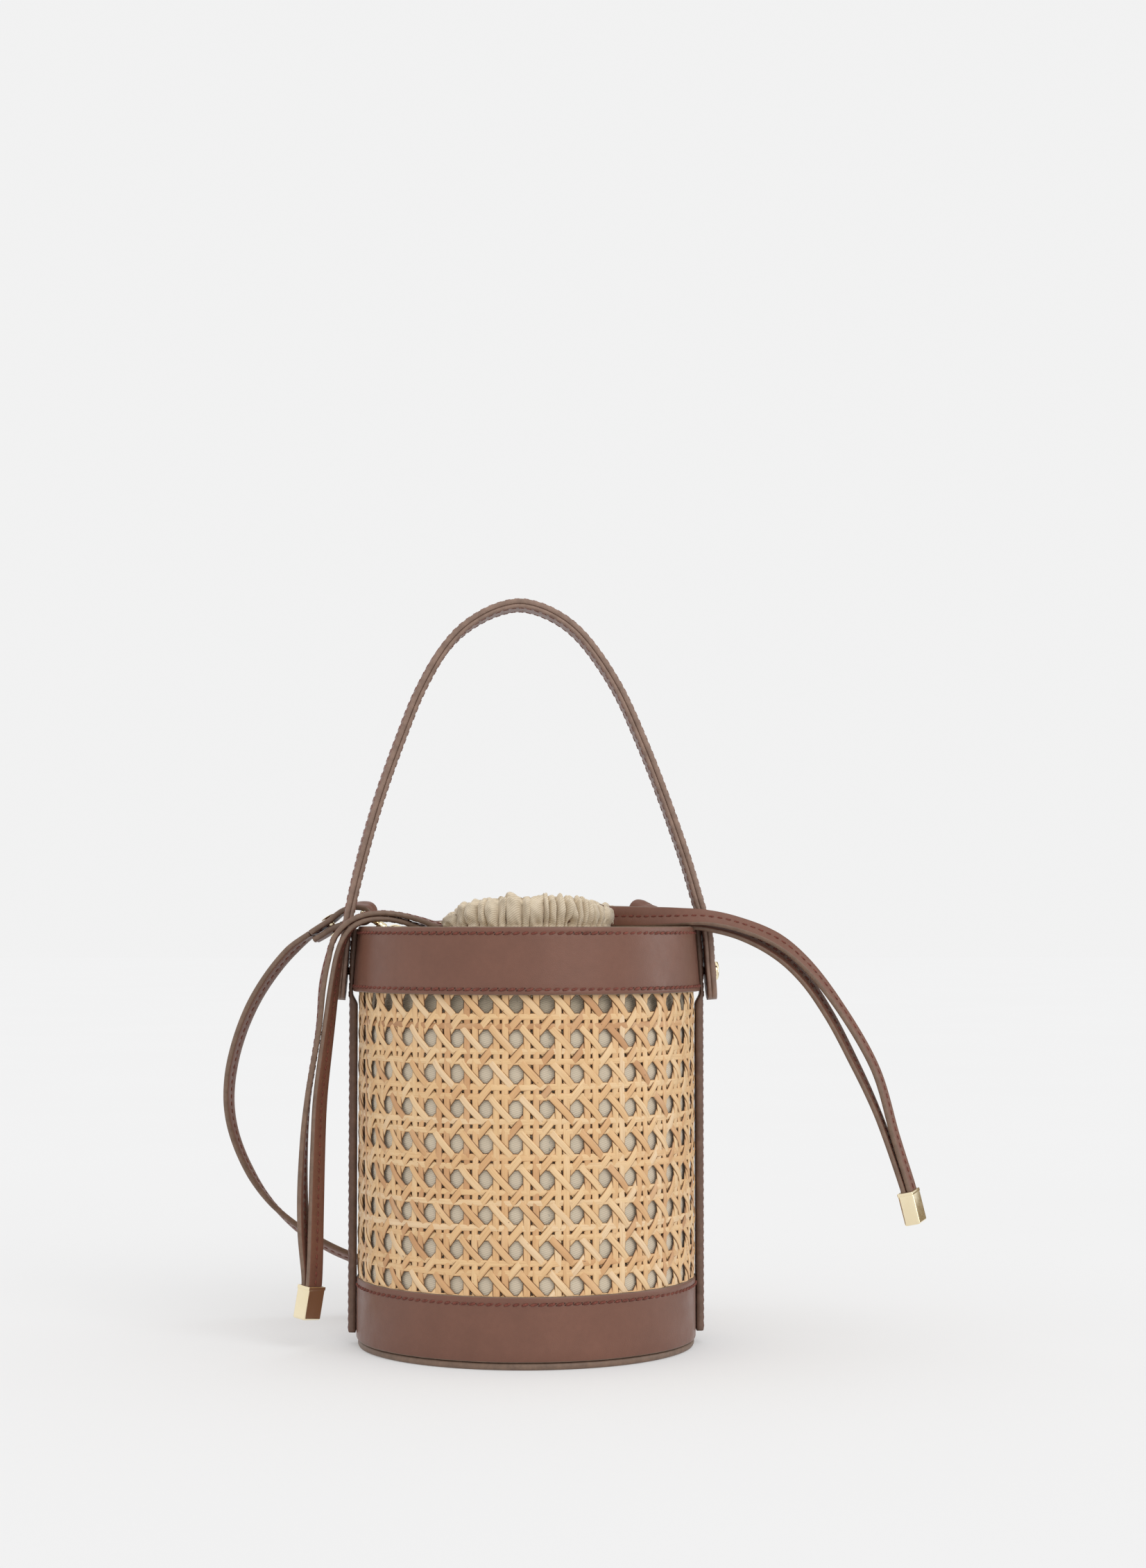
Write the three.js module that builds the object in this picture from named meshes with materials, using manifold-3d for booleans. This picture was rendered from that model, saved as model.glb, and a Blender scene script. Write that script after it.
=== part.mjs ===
// A small cylindrical bucket bag: cane webbing body with leather bands, a gathered pouch collar with
// two drawstrings, a swinging top handle on screw studs and a detachable shoulder strap.
// Millimetres, +Z up. Origin: centre of the sole's underside. +X is the bag's right, -Y its front.
import * as THREE from 'three';
import { mergeVertices } from 'three/addons/utils/BufferGeometryUtils.js';
import Module from 'manifold-3d';

const wasm = await Module();
wasm.setup();

// ---------------------------------------------------------------- driving dimensions
const RIM_Z = 172.6;
const WALL_R = 70.3; // outside of the leather at the rim and at the lower band
const FLARE_R = 72.5; // outside of the upper band at its lower edge
const LEATHER = 1.4;
const GAP = 0.3; // running gap between touching pieces
const ROUND_STEPS = 48;

const SOLE = { r: 69.5, thick: 2.8 };
const BOARD_THICK = 2.0;
const LOWER_BAND_TOP = 28.5;
const UPPER_BAND_BOTTOM = 145.8;
const CANE = { r: 70.0, thick: 1.6, tuckedR: 68.6, bottom: 14, top: 160 };
const LINING = { r: 65.9, thick: 0.7, bottom: 5.6, top: 137.7 };
const FACING = { inner: 66.2, lowOuter: 67.3, highOuter: 68.5, bottom: 146, step: 162, top: 172.0 };
const SIDE_STRIP = { halfWidth: 5, thick: 1.3, bottom: 5, bodyInner: 70.7 };

const POCKET = {
  outerR: 64.9,
  depth: 3.4,
  sheet: 0.8,
  halfAngle: 46,
  bottom: 55.5,
  top: 134,
  dividerX: 7.7,
};

const COLLAR = { seamZ: 138, neckOuter: 36, neckInner: 27, channelFloor: 172.8, neckTop: 184, sheet: 1.4 };
const CHANNEL = { inner: 28.8, outer: 34.6, low: 173.7, high: 182.8, slotHalfWidth: 3.1 };

const DRAWSTRING = { width: 8.5, thick: 2.0 };
const CAP = { width: 9.8, depth: 6.6, height: 13.6, chamfer: 0.8, edge: 0.6, bevelSize: 0.5 };

const HANDLE = { width: 18, outerThick: 1.6, innerThick: 1.3 };
const STUD = {
  z: 154,
  headFrom: 78.4,
  headR: 3.9,
  headThick: 2.0,
  dome: 0.4,
  domeR: 3.3,
  postR: 1.6,
  holeR: 2.6,
  backFrom: 63.8,
  backTo: 65.4,
  backR: 4.2,
};

const STRAP = { width: 10, thick: 2.4 };
const CORNER_AZIMUTH = { left: 168, right: 42 }; // where each strap end crosses the rim, degrees from +X
const EYE = { r: 69.7, z: 178 }; // centre of the swivel's bar inside the strap fold
const D_RING = { barR: 63.0, barZ: 161.5, halfWidth: 6.4, reach: 9.4, wire: 2.0 };
const EYE_LOOP = { inner: [1.1, 4.9, 5.6], outer: [-1.1, 6.9, 7.4], corner: 1.0, thick: 2.0 };
const STEM = { from: 6.5, to: 9.6, radius: 0.9 };
const BARREL = { from: 7.3, to: 10.4, radius: 1.9, boreTo: 9.9, boreRadius: 1.25 };
const HOOK_NECK = { from: 10.2, halfWidth: 1.3, halfHeight: 1.2, stopBefore: 4 };
// The hook's bow, angles about its centre in degrees: the mouth is the part that the gate closes.
const BOW = { inner: 3.2, outer: 4.9, thick: 3.0, mouthFrom: 20, mouthTo: 100, tipGap: 16, pivotGap: 12 };
const GATE = { thick: 1.2, width: 2 };
const RIVET = { x: 84.0, z: 173.2, radius: 1.3, cap: 2.9, capThick: 0.9, halfLength: 3.6, tilt: 57 };
const TAB = { low: 148, high: 163, inner: 64.6, outer: 65.7, width: 10, eyeOuter: 2.7, eyeInner: 1.6 };
const COIL = { x: 0, y: 128, outer: 45.7, inner: 31.3, low: 0.3, high: 10.9 };

const LEATHER_COLOUR = 0x86685c;
const EDGE_COLOUR = 0x7b6a58;
const CANE_COLOUR = 0xe2bd8a;
const FABRIC_COLOUR = 0xcfc4ab;
const BOARD_COLOUR = 0x9c8c78;
const GOLD_COLOUR = 0xd9b36c;

// ---------------------------------------------------------------- helpers
const degrees = (angle) => THREE.MathUtils.degToRad(angle);
const vector = (x, y, z) => new THREE.Vector3(x, y, z);

function toSolid(geometry) {
  const bare = geometry.clone();
  bare.deleteAttribute('normal');
  bare.deleteAttribute('uv');
  const merged = mergeVertices(bare, 1e-4);
  const vertProperties = new Float32Array(merged.attributes.position.array);
  const triVerts = new Uint32Array(merged.index.array);
  return new wasm.Manifold(new wasm.Mesh({ numProp: 3, vertProperties, triVerts }));
}

function toGeometry(solid) {
  const mesh = solid.getMesh();
  const geometry = new THREE.BufferGeometry();
  geometry.setAttribute('position', new THREE.BufferAttribute(new Float32Array(mesh.vertProperties), 3));
  geometry.setIndex(new THREE.BufferAttribute(new Uint32Array(mesh.triVerts), 1));
  return geometry;
}

function subtract(geometry, ...cutters) {
  return toGeometry(cutters.reduce((solid, cutter) => solid.subtract(toSolid(cutter)), toSolid(geometry)));
}

function intersect(geometry, other) {
  return toGeometry(toSolid(geometry).intersect(toSolid(other)));
}

function unite(...geometries) {
  const [first, ...others] = geometries;
  return toGeometry(others.reduce((solid, next) => solid.add(toSolid(next)), toSolid(first)));
}

function boxBetween(low, high) {
  const box = new THREE.BoxGeometry(high[0] - low[0], high[1] - low[1], high[2] - low[2]);
  return box.translate((low[0] + high[0]) / 2, (low[1] + high[1]) / 2, (low[2] + high[2]) / 2);
}

// A body of revolution about Z from [radius, z] points; the outline closes on itself or on the axis.
function turned(outline, steps = ROUND_STEPS) {
  const points = outline.map(([r, z]) => new THREE.Vector2(r, z));
  const onAxis = outline[0][0] === 0 && outline[outline.length - 1][0] === 0;
  if (!onAxis) points.push(points[0].clone());
  return new THREE.LatheGeometry(points, steps).rotateX(Math.PI / 2);
}

// A cylinder along X between two x positions, centred on (y, z).
function barAlongX(x0, x1, y, z, radius, steps = 20) {
  const bar = new THREE.CylinderGeometry(radius, radius, Math.abs(x1 - x0), steps);
  return bar.rotateZ(Math.PI / 2).translate((x0 + x1) / 2, y, z);
}

// Everything in front of (side -1) or behind (side +1) the X axis, from a distance `start` off it.
function halfSpace(side, start) {
  const far = 200;
  return side < 0
    ? boxBetween([-far, -far, -1], [far, -start, far * 2])
    : boxBetween([-far, start, -1], [far, far, far * 2]);
}

// The front or back half of a ring, with a seam gap on the X axis.
function halfOf(ring, side) {
  return intersect(ring, halfSpace(side, GAP / 2));
}

// A flat shape from [x, y] points, with holes.
function shapeOf(outline, holes = []) {
  const plane = (points) => points.map(([x, y]) => new THREE.Vector2(x, y));
  const shape = new THREE.Shape(plane(outline));
  holes.forEach((hole) => shape.holes.push(new THREE.Path(plane(hole))));
  return shape;
}

// A flat outline in the (x, z) plane extruded along Y, centred on y = 0.
function slab(outline, depth, holes = []) {
  const solid = new THREE.ExtrudeGeometry(shapeOf(outline, holes), { depth, bevelEnabled: false });
  return solid.rotateX(Math.PI / 2).translate(0, depth / 2, 0);
}

function circlePoints(x, z, radius, count, from = 0, sweep = 360) {
  const steps = sweep === 360 ? count : count - 1;
  const points = [];
  for (let i = 0; i < count; i += 1) {
    const angle = degrees(from + (sweep * i) / steps);
    points.push([x + radius * Math.cos(angle), z + radius * Math.sin(angle)]);
  }
  return points;
}

// A flat strip lofted through stations { point, across }: a rectangle of width along `across`.
function stripThrough(stations, width, thick) {
  const positions = [];
  const index = [];
  const last = stations.length - 1;
  stations.forEach(({ point, across, shift = 0 }, i) => {
    const before = stations[Math.max(i - 1, 0)].point;
    const after = stations[Math.min(i + 1, last)].point;
    const along = after.clone().sub(before).normalize();
    const side = across.clone().addScaledVector(along, -across.dot(along)).normalize();
    const face = along.clone().cross(side);
    for (const [s, f] of [[-1, -1], [1, -1], [1, 1], [-1, 1]]) {
      const corner = point.clone().addScaledVector(side, (s * width) / 2);
      corner.addScaledVector(face, (f * thick) / 2 + shift);
      positions.push(corner.x, corner.y, corner.z);
    }
  });
  for (let i = 0; i < last; i += 1) {
    for (let k = 0; k < 4; k += 1) {
      const a = 4 * i + k;
      const b = 4 * i + ((k + 1) % 4);
      index.push(a, b, b + 4, a, b + 4, a + 4);
    }
  }
  const end = 4 * last;
  index.push(0, 2, 1, 0, 3, 2, end, end + 1, end + 2, end, end + 2, end + 3);
  const geometry = new THREE.BufferGeometry();
  geometry.setAttribute('position', new THREE.Float32BufferAttribute(positions, 3));
  geometry.setIndex(index);
  return geometry;
}

// Stations along a smooth curve through rows [x, y, z, across x, across y, across z].
function stationsAlong(rows, count) {
  const curve = new THREE.CatmullRomCurve3(rows.map(([x, y, z]) => vector(x, y, z)), false, 'centripetal');
  const stations = [];
  for (let i = 0; i <= count; i += 1) {
    const t = i / count;
    const place = t * (rows.length - 1);
    const row = Math.min(Math.floor(place), rows.length - 2);
    const from = vector(...rows[row].slice(3));
    const to = vector(...rows[row + 1].slice(3));
    stations.push({ point: curve.getPoint(t), across: from.lerp(to, place - row).normalize() });
  }
  return stations;
}

// ---------------------------------------------------------------- scene graph
const bag = new THREE.Group();
bag.name = 'bucket_bag';

const LOOKS = {
  leather: [LEATHER_COLOUR, 0.45, 0],
  strap: [EDGE_COLOUR, 0.55, 0],
  cane: [CANE_COLOUR, 0.6, 0],
  fabric: [FABRIC_COLOUR, 0.9, 0],
  board: [BOARD_COLOUR, 0.8, 0],
  gold: [GOLD_COLOUR, 0.2, 1],
};

function addPart(name, geometry, look, parent = bag) {
  const [color, roughness, metalness] = LOOKS[look];
  const material = new THREE.MeshStandardMaterial({ color, roughness, metalness });
  const mesh = new THREE.Mesh(geometry, material);
  mesh.name = name;
  parent.add(mesh);
}

// Outside radius of the upper band at height z: it flares towards its lower edge.
function upperBandRadius(z) {
  return WALL_R + ((FLARE_R - WALL_R) * (RIM_Z - z)) / (RIM_Z - UPPER_BAND_BOTTOM);
}

// ---------------------------------------------------------------- base
const soleEdge = 0.5;
const soleOutline = [
  [0, 0],
  [SOLE.r - soleEdge, 0],
  [SOLE.r, soleEdge],
  [SOLE.r, SOLE.thick - soleEdge],
  [SOLE.r - soleEdge, SOLE.thick],
  [0, SOLE.thick],
];
addPart('base_sole', turned(soleOutline), 'leather');

const boardLow = SOLE.thick + GAP;
const boardR = WALL_R - LEATHER - GAP;
const boardTop = boardLow + BOARD_THICK;
const boardOutline = [[0, boardLow], [boardR, boardLow], [boardR, boardTop], [0, boardTop]];
addPart('base_board', turned(boardOutline), 'board');

// ---------------------------------------------------------------- body walls: halves with side seams
const studHoles = [-1, 1].map((side) => {
  const [from, to] = [60, 82];
  return barAlongX(side * from, side * to, 0, STUD.z, STUD.postR + GAP);
});

const lowerBand = turned([
  [WALL_R - LEATHER, boardLow],
  [WALL_R, boardLow],
  [WALL_R, LOWER_BAND_TOP],
  [WALL_R - LEATHER, LOWER_BAND_TOP],
]);
addPart('lower_band_front', halfOf(lowerBand, -1), 'leather');
addPart('lower_band_back', halfOf(lowerBand, 1), 'leather');

const caneShell = turned([
  [CANE.tuckedR - CANE.thick, CANE.bottom],
  [CANE.tuckedR, CANE.bottom],
  [CANE.tuckedR, LOWER_BAND_TOP + 0.5],
  [CANE.r, LOWER_BAND_TOP + 4],
  [CANE.r, UPPER_BAND_BOTTOM + 4],
  [CANE.r - 0.7, CANE.top],
  [CANE.r - 0.7 - CANE.thick, CANE.top],
  [CANE.r - CANE.thick, UPPER_BAND_BOTTOM + 4],
  [CANE.r - CANE.thick, LOWER_BAND_TOP + 4],
  [CANE.tuckedR - CANE.thick, LOWER_BAND_TOP + 0.5],
]);
addPart('cane_front', subtract(halfOf(caneShell, -1), ...studHoles), 'cane');
addPart('cane_back', subtract(halfOf(caneShell, 1), ...studHoles), 'cane');

const upperBand = turned([
  [FLARE_R - LEATHER, UPPER_BAND_BOTTOM],
  [FLARE_R, UPPER_BAND_BOTTOM],
  [WALL_R, RIM_Z],
  [WALL_R - LEATHER, RIM_Z],
]);
addPart('upper_band_front', subtract(halfOf(upperBand, -1), ...studHoles), 'leather');
addPart('upper_band_back', subtract(halfOf(upperBand, 1), ...studHoles), 'leather');

const facing = turned([
  [FACING.inner, FACING.bottom],
  [FACING.lowOuter, FACING.bottom],
  [FACING.lowOuter, FACING.step],
  [FACING.highOuter, FACING.step],
  [FACING.highOuter, FACING.top],
  [FACING.inner, FACING.top],
]);
addPart('rim_facing', subtract(facing, ...studHoles), 'leather');

// A leather strip over each side seam: close to the cane below, riding over the flared band above.
function sideStrip(side) {
  const lowR = SIDE_STRIP.bodyInner;
  const bandR = (z) => upperBandRadius(z) + GAP;
  const inner = [
    [lowR, SIDE_STRIP.bottom],
    [lowR, UPPER_BAND_BOTTOM - 5],
    [bandR(UPPER_BAND_BOTTOM), UPPER_BAND_BOTTOM - 1],
    [bandR(RIM_Z), RIM_Z - GAP],
  ];
  const outer = inner.map(([r, z]) => [r + SIDE_STRIP.thick, z]);
  const ring = turned([...outer, ...inner.reverse()], ROUND_STEPS * 2);
  const near = side > 0 ? 0 : -90;
  const far = side > 0 ? 90 : 0;
  const window = boxBetween([near, -SIDE_STRIP.halfWidth, 0], [far, SIDE_STRIP.halfWidth, RIM_Z + 10]);
  return subtract(intersect(ring, window), ...studHoles);
}
addPart('side_strip_left', sideStrip(-1), 'leather');
addPart('side_strip_right', sideStrip(1), 'leather');

// ---------------------------------------------------------------- lining, pocket and gathered collar
const liningOutline = [
  [0, LINING.bottom],
  [LINING.r, LINING.bottom],
  [LINING.r, LINING.top],
  [LINING.r - LINING.thick, LINING.top],
  [LINING.r - LINING.thick, LINING.bottom + LINING.thick],
  [0, LINING.bottom + LINING.thick],
];
addPart('lining_pouch', turned(liningOutline), 'fabric');

function wedge(halfAngle, inner, outer, low, high) {
  const ring = turned([[inner, low], [outer, low], [outer, high], [inner, high]]);
  const reach = 100;
  const corner = reach * Math.tan(degrees(90 - halfAngle));
  const sector = shapeOf([
    [0, 0],
    [-reach, -corner],
    [-reach, -2 * reach],
    [reach, -2 * reach],
    [reach, -corner],
  ]);
  const prism = new THREE.ExtrudeGeometry(sector, { depth: 3 * reach, bevelEnabled: false });
  return intersect(ring, prism.translate(0, 0, -reach));
}

// A slip pocket in two bays, open at the top, on the front of the lining.
function pocket() {
  const { outerR, depth, sheet, halfAngle, bottom, top, dividerX } = POCKET;
  const body = wedge(halfAngle, outerR - depth, outerR, bottom, top);
  const hollow = wedge(halfAngle - 1, outerR - depth + sheet, outerR - sheet, bottom + sheet, top + 1);
  const leftBay = intersect(hollow, boxBetween([-90, -90, 0], [dividerX - sheet / 2, 0, RIM_Z]));
  const rightBay = intersect(hollow, boxBetween([dividerX + sheet / 2, -90, 0], [90, 0, RIM_Z]));
  return subtract(body, leftBay, rightBay);
}
addPart('inner_pocket', pocket(), 'fabric');

// The collar rises from the lining's edge to a drawn-in neck, with a channel round the neck for the
// drawstrings and a slot on each side where they come out.
function gatheredCollar() {
  const { seamZ, neckOuter, neckInner, channelFloor, neckTop, sheet } = COLLAR;
  const outline = [
    [LINING.r - LINING.thick, seamZ],
    [LINING.r, seamZ],
    [LINING.r, seamZ + 5],
    [LINING.r - 6, seamZ + 10],
    [neckOuter + 9, channelFloor - 9],
    [neckOuter + 1, channelFloor - 1.5],
    [neckOuter, channelFloor],
    [neckOuter, neckTop - 1],
    [neckOuter - 3, neckTop + 1],
    [neckInner + 2, neckTop + 1],
    [neckInner, neckTop - 1],
    [neckInner, channelFloor],
    [neckOuter + 7, channelFloor - 9 - sheet],
    [LINING.r - 6 - sheet, seamZ + 9],
  ];
  const channel = turned([
    [CHANNEL.inner, CHANNEL.low],
    [CHANNEL.outer, CHANNEL.low],
    [CHANNEL.outer, CHANNEL.high],
    [CHANNEL.inner, CHANNEL.high],
  ]);
  const slotReach = neckOuter + 2;
  const slots = [-1, 1].map((side) => {
    const inner = CHANNEL.inner + 1;
    const low = [Math.min(side * inner, side * slotReach), -CHANNEL.slotHalfWidth, CHANNEL.low];
    const high = [Math.max(side * inner, side * slotReach), CHANNEL.slotHalfWidth, CHANNEL.high];
    return boxBetween(low, high);
  });
  return subtract(turned(outline), channel, ...slots);
}
addPart('gathered_collar', gatheredCollar(), 'fabric');

// ---------------------------------------------------------------- drawstrings
// Each drawstring runs through half of the channel; its two tails leave by the side slots.
function channelRun(side) {
  const mid = (CHANNEL.inner + CHANNEL.outer) / 2;
  const low = (CHANNEL.low + CHANNEL.high - DRAWSTRING.width) / 2;
  const ring = turned([
    [mid - DRAWSTRING.thick / 2, low],
    [mid + DRAWSTRING.thick / 2, low],
    [mid + DRAWSTRING.thick / 2, low + DRAWSTRING.width],
    [mid - DRAWSTRING.thick / 2, low + DRAWSTRING.width],
  ]);
  return intersect(ring, halfSpace(side, CHANNEL.slotHalfWidth + GAP));
}
addPart('drawstring_front_run', channelRun(-1), 'strap');
addPart('drawstring_back_run', channelRun(1), 'strap');

// Tail routes: point, then the direction of the strip's width.
const TAILS = {
  drawstring_tail_right_front: [
    [29.3, -1.4, 178.25, 0, 0, 1],
    [38, -1.8, 178.0, 0, 0.05, 1],
    [50, -8, 177.6, 0, 0.3, 1],
    [62, -15, 177.3, 0.05, 0.7, 1],
    [74, -18.0, 176.4, 0.15, 1, 0.8],
    [86, -18.6, 174.0, 0.2, 1, 0.45],
    [102.6, -18.4, 167.4, 0.22, 1, 0.32],
    [114.5, -18, 157.6, 0.24, 1, 0.2],
    [128.6, -17, 140.0, 0.22, 1, 0.12],
    [143.9, -16, 113.6, 0.22, 1, 0.08],
    [152.2, -15, 85.4, 0.24, 1, 0.04],
    [158.6, -14.4, 64.6, 0.24, 1, 0.04],
  ],
  drawstring_tail_right_back: [
    [29.3, 1.2, 178.25, 0, 0, 1],
    [38, 0.9, 178.0, 0, 0.05, 1],
    [50, -4.6, 177.2, 0, 0.3, 1],
    [62, -11.4, 177.3, 0.05, 0.6, 1],
    [74, -14.6, 175.4, 0.15, 1, 0.7],
    [88, -15.2, 170.2, 0.2, 1, 0.4],
    [103, -15.4, 161.6, 0.22, 1, 0.3],
    [113.8, -15.4, 151.4, 0.24, 1, 0.22],
    [123.6, -15.2, 137.0, 0.24, 1, 0.14],
    [134.2, -14.8, 117.4, 0.24, 1, 0.1],
    [144.6, -14.4, 95.6, 0.24, 1, 0.06],
    [156.0, -13.6, 63.9, 0.24, 1, 0.04],
  ],
  drawstring_tail_left_front: [
    [-29.3, -1.4, 178.25, 0, 0, 1],
    [-37.5, -1.9, 178.3, 0, 0.1, 1],
    [-45, -8.4, 178.2, 0, 1, 0.8],
    [-52, -12.5, 178.0, 0, 1, 0.2],
    [-59, -14.8, 178.7, 0, 1, 0.02],
    [-66.6, -15.2, 177.9, 0, 1, 0],
    [-73.6, -15.2, 174.5, 0, 1, 0],
    [-79.2, -15.2, 168.2, 0, 1, 0],
    [-82.6, -15.2, 159.6, -0.15, 1, 0],
    [-85.4, -15.2, 148.6, -0.2, 1, 0],
    [-87.0, -15.0, 131, -0.1, 1, 0],
    [-90.2, -14.8, 100.5, 0.02, 1, 0],
    [-92.2, -14.4, 75.5, 0.2, 1, 0],
    [-92.6, -13.8, 50.5, 0.4, 1, 0],
    [-90.4, -13.2, 25.9, 0.85, 1, 0],
  ],
  drawstring_tail_left_back: [
    [-29.3, 1.2, 178.25, 0, 0, 1],
    [-37.5, 1.0, 178.1, 0, 0.1, 1],
    [-45.6, -4.6, 174.9, 0, 1, 0.9],
    [-52, -11.8, 175.2, 0, 1, 0.2],
    [-59, -14.4, 175.9, 0, 1, 0.02],
    [-65.6, -15.0, 175.2, 0, 1, 0],
    [-71.2, -15.0, 173.0, 0, 1, 0],
    [-74.8, -15.0, 168.4, 0, 1, 0],
    [-77.0, -15.0, 162.0, 0.02, 1, 0],
    [-79.0, -15.0, 150, 0.1, 1, 0],
    [-81.4, -15.2, 131, 0.35, 1, 0],
    [-85.0, -15.4, 100.5, 0.62, 1, 0],
    [-86.4, -15.4, 75.5, 0.68, 1, 0],
    [-87.4, -15.2, 50.5, 0.75, 1, 0],
    [-88.6, -14.8, 25.9, 0.85, 1, 0],
  ],
};
for (const [name, rows] of Object.entries(TAILS)) {
  addPart(name, stripThrough(stationsAlong(rows, 34), DRAWSTRING.width, DRAWSTRING.thick), 'strap');
}

// A metal end cap that holds both tails of one side: a chamfered block.
function endCap() {
  const { width, depth, height, chamfer, edge, bevelSize } = CAP;
  const halfW = width / 2;
  const halfD = depth / 2;
  const outline = [
    [-halfW + chamfer, -halfD],
    [halfW - chamfer, -halfD],
    [halfW, -halfD + chamfer],
    [halfW, halfD - chamfer],
    [halfW - chamfer, halfD],
    [-halfW + chamfer, halfD],
    [-halfW, halfD - chamfer],
    [-halfW, -halfD + chamfer],
  ];
  const bevel = {
    depth: height - 2 * edge,
    bevelEnabled: true,
    bevelThickness: edge,
    bevelSize: bevelSize,
    bevelSegments: 1,
    bevelOffset: -bevelSize,
  };
  return new THREE.ExtrudeGeometry(shapeOf(outline), bevel).translate(0, 0, -height + edge);
}

// The cap hangs from the two strip ends: `top` is its upper face's centre, `bottom` its lower face's.
function addCap(name, top, bottom, turn) {
  const hinge = new THREE.Group();
  const up = vector(...top).sub(vector(...bottom)).normalize();
  hinge.position.set(...top);
  hinge.quaternion.setFromUnitVectors(vector(0, 0, 1), up);
  const spin = new THREE.Group();
  spin.rotation.z = degrees(turn);
  hinge.add(spin);
  bag.add(hinge);
  addPart(name, endCap(), 'gold', spin);
}
addCap('end_cap_left', [-89.5, -14.0, 24.7], [-91.2, -14.0, 12.6], 50);
addCap('end_cap_right', [157.4, -14.0, 63.5], [160.6, -14.0, 50.4], 77);

// ---------------------------------------------------------------- handle
// Centre line of the two-layer strap, from the left tab up over the arch to the right tab.
const HANDLE_LINE = [
  [-77.2, 142.0], [-75.95, 156.8], [-74.85, 170.5], [-72.6, 183.5], [-67.7, 204.1], [-60.8, 227.9],
  [-51.9, 253.0], [-44.6, 271.1], [-35.3, 287.6], [-27.5, 296.4], [-19.2, 302.2], [-11.0, 305.8],
  [-3.0, 307.2], [5.1, 305.6], [13.2, 301.8], [20.1, 296.6], [27.7, 287.9], [38.2, 271.4],
  [47.8, 250.3], [56.5, 228.1], [66.3, 200.1], [71.6, 182.1], [74.85, 170.5], [75.95, 156.8],
  [77.2, 142.0],
];

const handleHoles = [-1, 1].map((side) => {
  const [from, to] = [70, 85];
  return barAlongX(side * from, side * to, 0, STUD.z, STUD.holeR);
});

function handleLayer(thick, shift) {
  const rows = HANDLE_LINE.map(([x, z]) => [x, 0, z, 0, 1, 0]);
  const stations = stationsAlong(rows, 60).map((station) => ({ ...station, shift }));
  const strip = stripThrough(stations, HANDLE.width, thick);
  return subtract(strip, ...handleHoles);
}
const { outerThick, innerThick } = HANDLE;
const middle = (outerThick - innerThick) / 2;
addPart('handle_outer', handleLayer(outerThick, -middle + (outerThick + GAP) / 2), 'leather');
addPart('handle_inner', handleLayer(innerThick, -middle - (innerThick + GAP) / 2), 'leather');

// Screw studs: a domed head outside each handle tab, its post through the wall, a round back inside.
function stud(side) {
  const { z, headFrom, headThick, headR, dome, domeR, postR } = STUD;
  const headTo = headFrom + headThick;
  const postFrom = FACING.inner - 0.2;
  const overlap = 0.1;
  const head = barAlongX(side * headFrom, side * (headTo - dome), 0, z, headR, 28);
  const crown = barAlongX(side * (headTo - dome), side * headTo, 0, z, domeR, 28);
  const post = barAlongX(side * postFrom, side * (headFrom + overlap), 0, z, postR);
  return unite(head, crown, post);
}
function studBack(side) {
  return barAlongX(side * STUD.backFrom, side * STUD.backTo, 0, STUD.z, STUD.backR, 24);
}
for (const [name, side] of [['left', -1], ['right', 1]]) {
  addPart(`handle_stud_${name}`, stud(side), 'gold');
  addPart(`stud_back_${name}`, studBack(side), 'gold');
}

// ---------------------------------------------------------------- strap corners: D-ring, clasp, strap end
// In a corner's own frame x points out of the bag, z up, and y runs along the rim.
const ringDirection = vector(-0.7, 0, 0.72).normalize();
const ringWire = vector(D_RING.barR, 0, D_RING.barZ).addScaledVector(ringDirection, D_RING.reach);
const claspLine = ringWire.clone().sub(vector(EYE.r, 0, EYE.z));
const claspLength = claspLine.length();
const claspAngle = Math.atan2(claspLine.z, claspLine.x);

function dRingTab() {
  const { barR, barZ } = D_RING;
  const { low, high, inner, outer, width, eyeOuter, eyeInner } = TAB;
  const plate = slab([[inner, low], [outer, low], [outer, high], [inner, high]], width);
  const hole = circlePoints(barR, barZ, eyeInner, 16);
  const eye = slab(circlePoints(barR, barZ, eyeOuter, 20), width, [hole]);
  return unite(plate, eye);
}

// A ring with one straight side along y and a round far side, cut from plate.
function dRing() {
  const { halfWidth, reach, wire, barR, barZ } = D_RING;
  const outline = (grow) => {
    const radius = halfWidth + grow;
    const legs = reach - halfWidth;
    return [[-grow, -radius], ...circlePoints(legs, 0, radius, 13, -90, 180), [-grow, radius]];
  };
  const shape = shapeOf(outline(wire / 2), [outline(-wire / 2)]);
  const ring = new THREE.ExtrudeGeometry(shape, { depth: wire, bevelEnabled: false });
  const slope = Math.atan2(ringDirection.z, ringDirection.x);
  return ring.translate(0, 0, -wire / 2).rotateY(-slope).translate(barR, 0, barZ);
}

// Pieces of the clasp are drawn along +X from the eye's bar and then swung down onto the D-ring.
function ontoClaspLine(geometry) {
  return geometry.rotateY(-claspAngle).translate(EYE.r, 0, EYE.z);
}

function swivel() {
  const { inner, outer, corner, thick } = EYE_LOOP;
  const [x0, x1, half] = outer;
  const [hole0, hole1, holeHalf] = inner;
  const outline = [
    [x0, -half + corner],
    [x0 + corner, -half],
    [x1 - corner, -half],
    [x1, -half + corner],
    [x1, half - corner],
    [x1 - corner, half],
    [x0 + corner, half],
    [x0, half - corner],
  ];
  const hole = [[hole0, -holeHalf], [hole1, -holeHalf], [hole1, holeHalf], [hole0, holeHalf]];
  const loop = new THREE.ExtrudeGeometry(shapeOf(outline, [hole]), { depth: thick, bevelEnabled: false });
  const stem = barAlongX(STEM.from, STEM.to, 0, 0, STEM.radius, 12);
  return ontoClaspLine(unite(loop.translate(0, 0, -thick / 2), stem));
}

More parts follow.
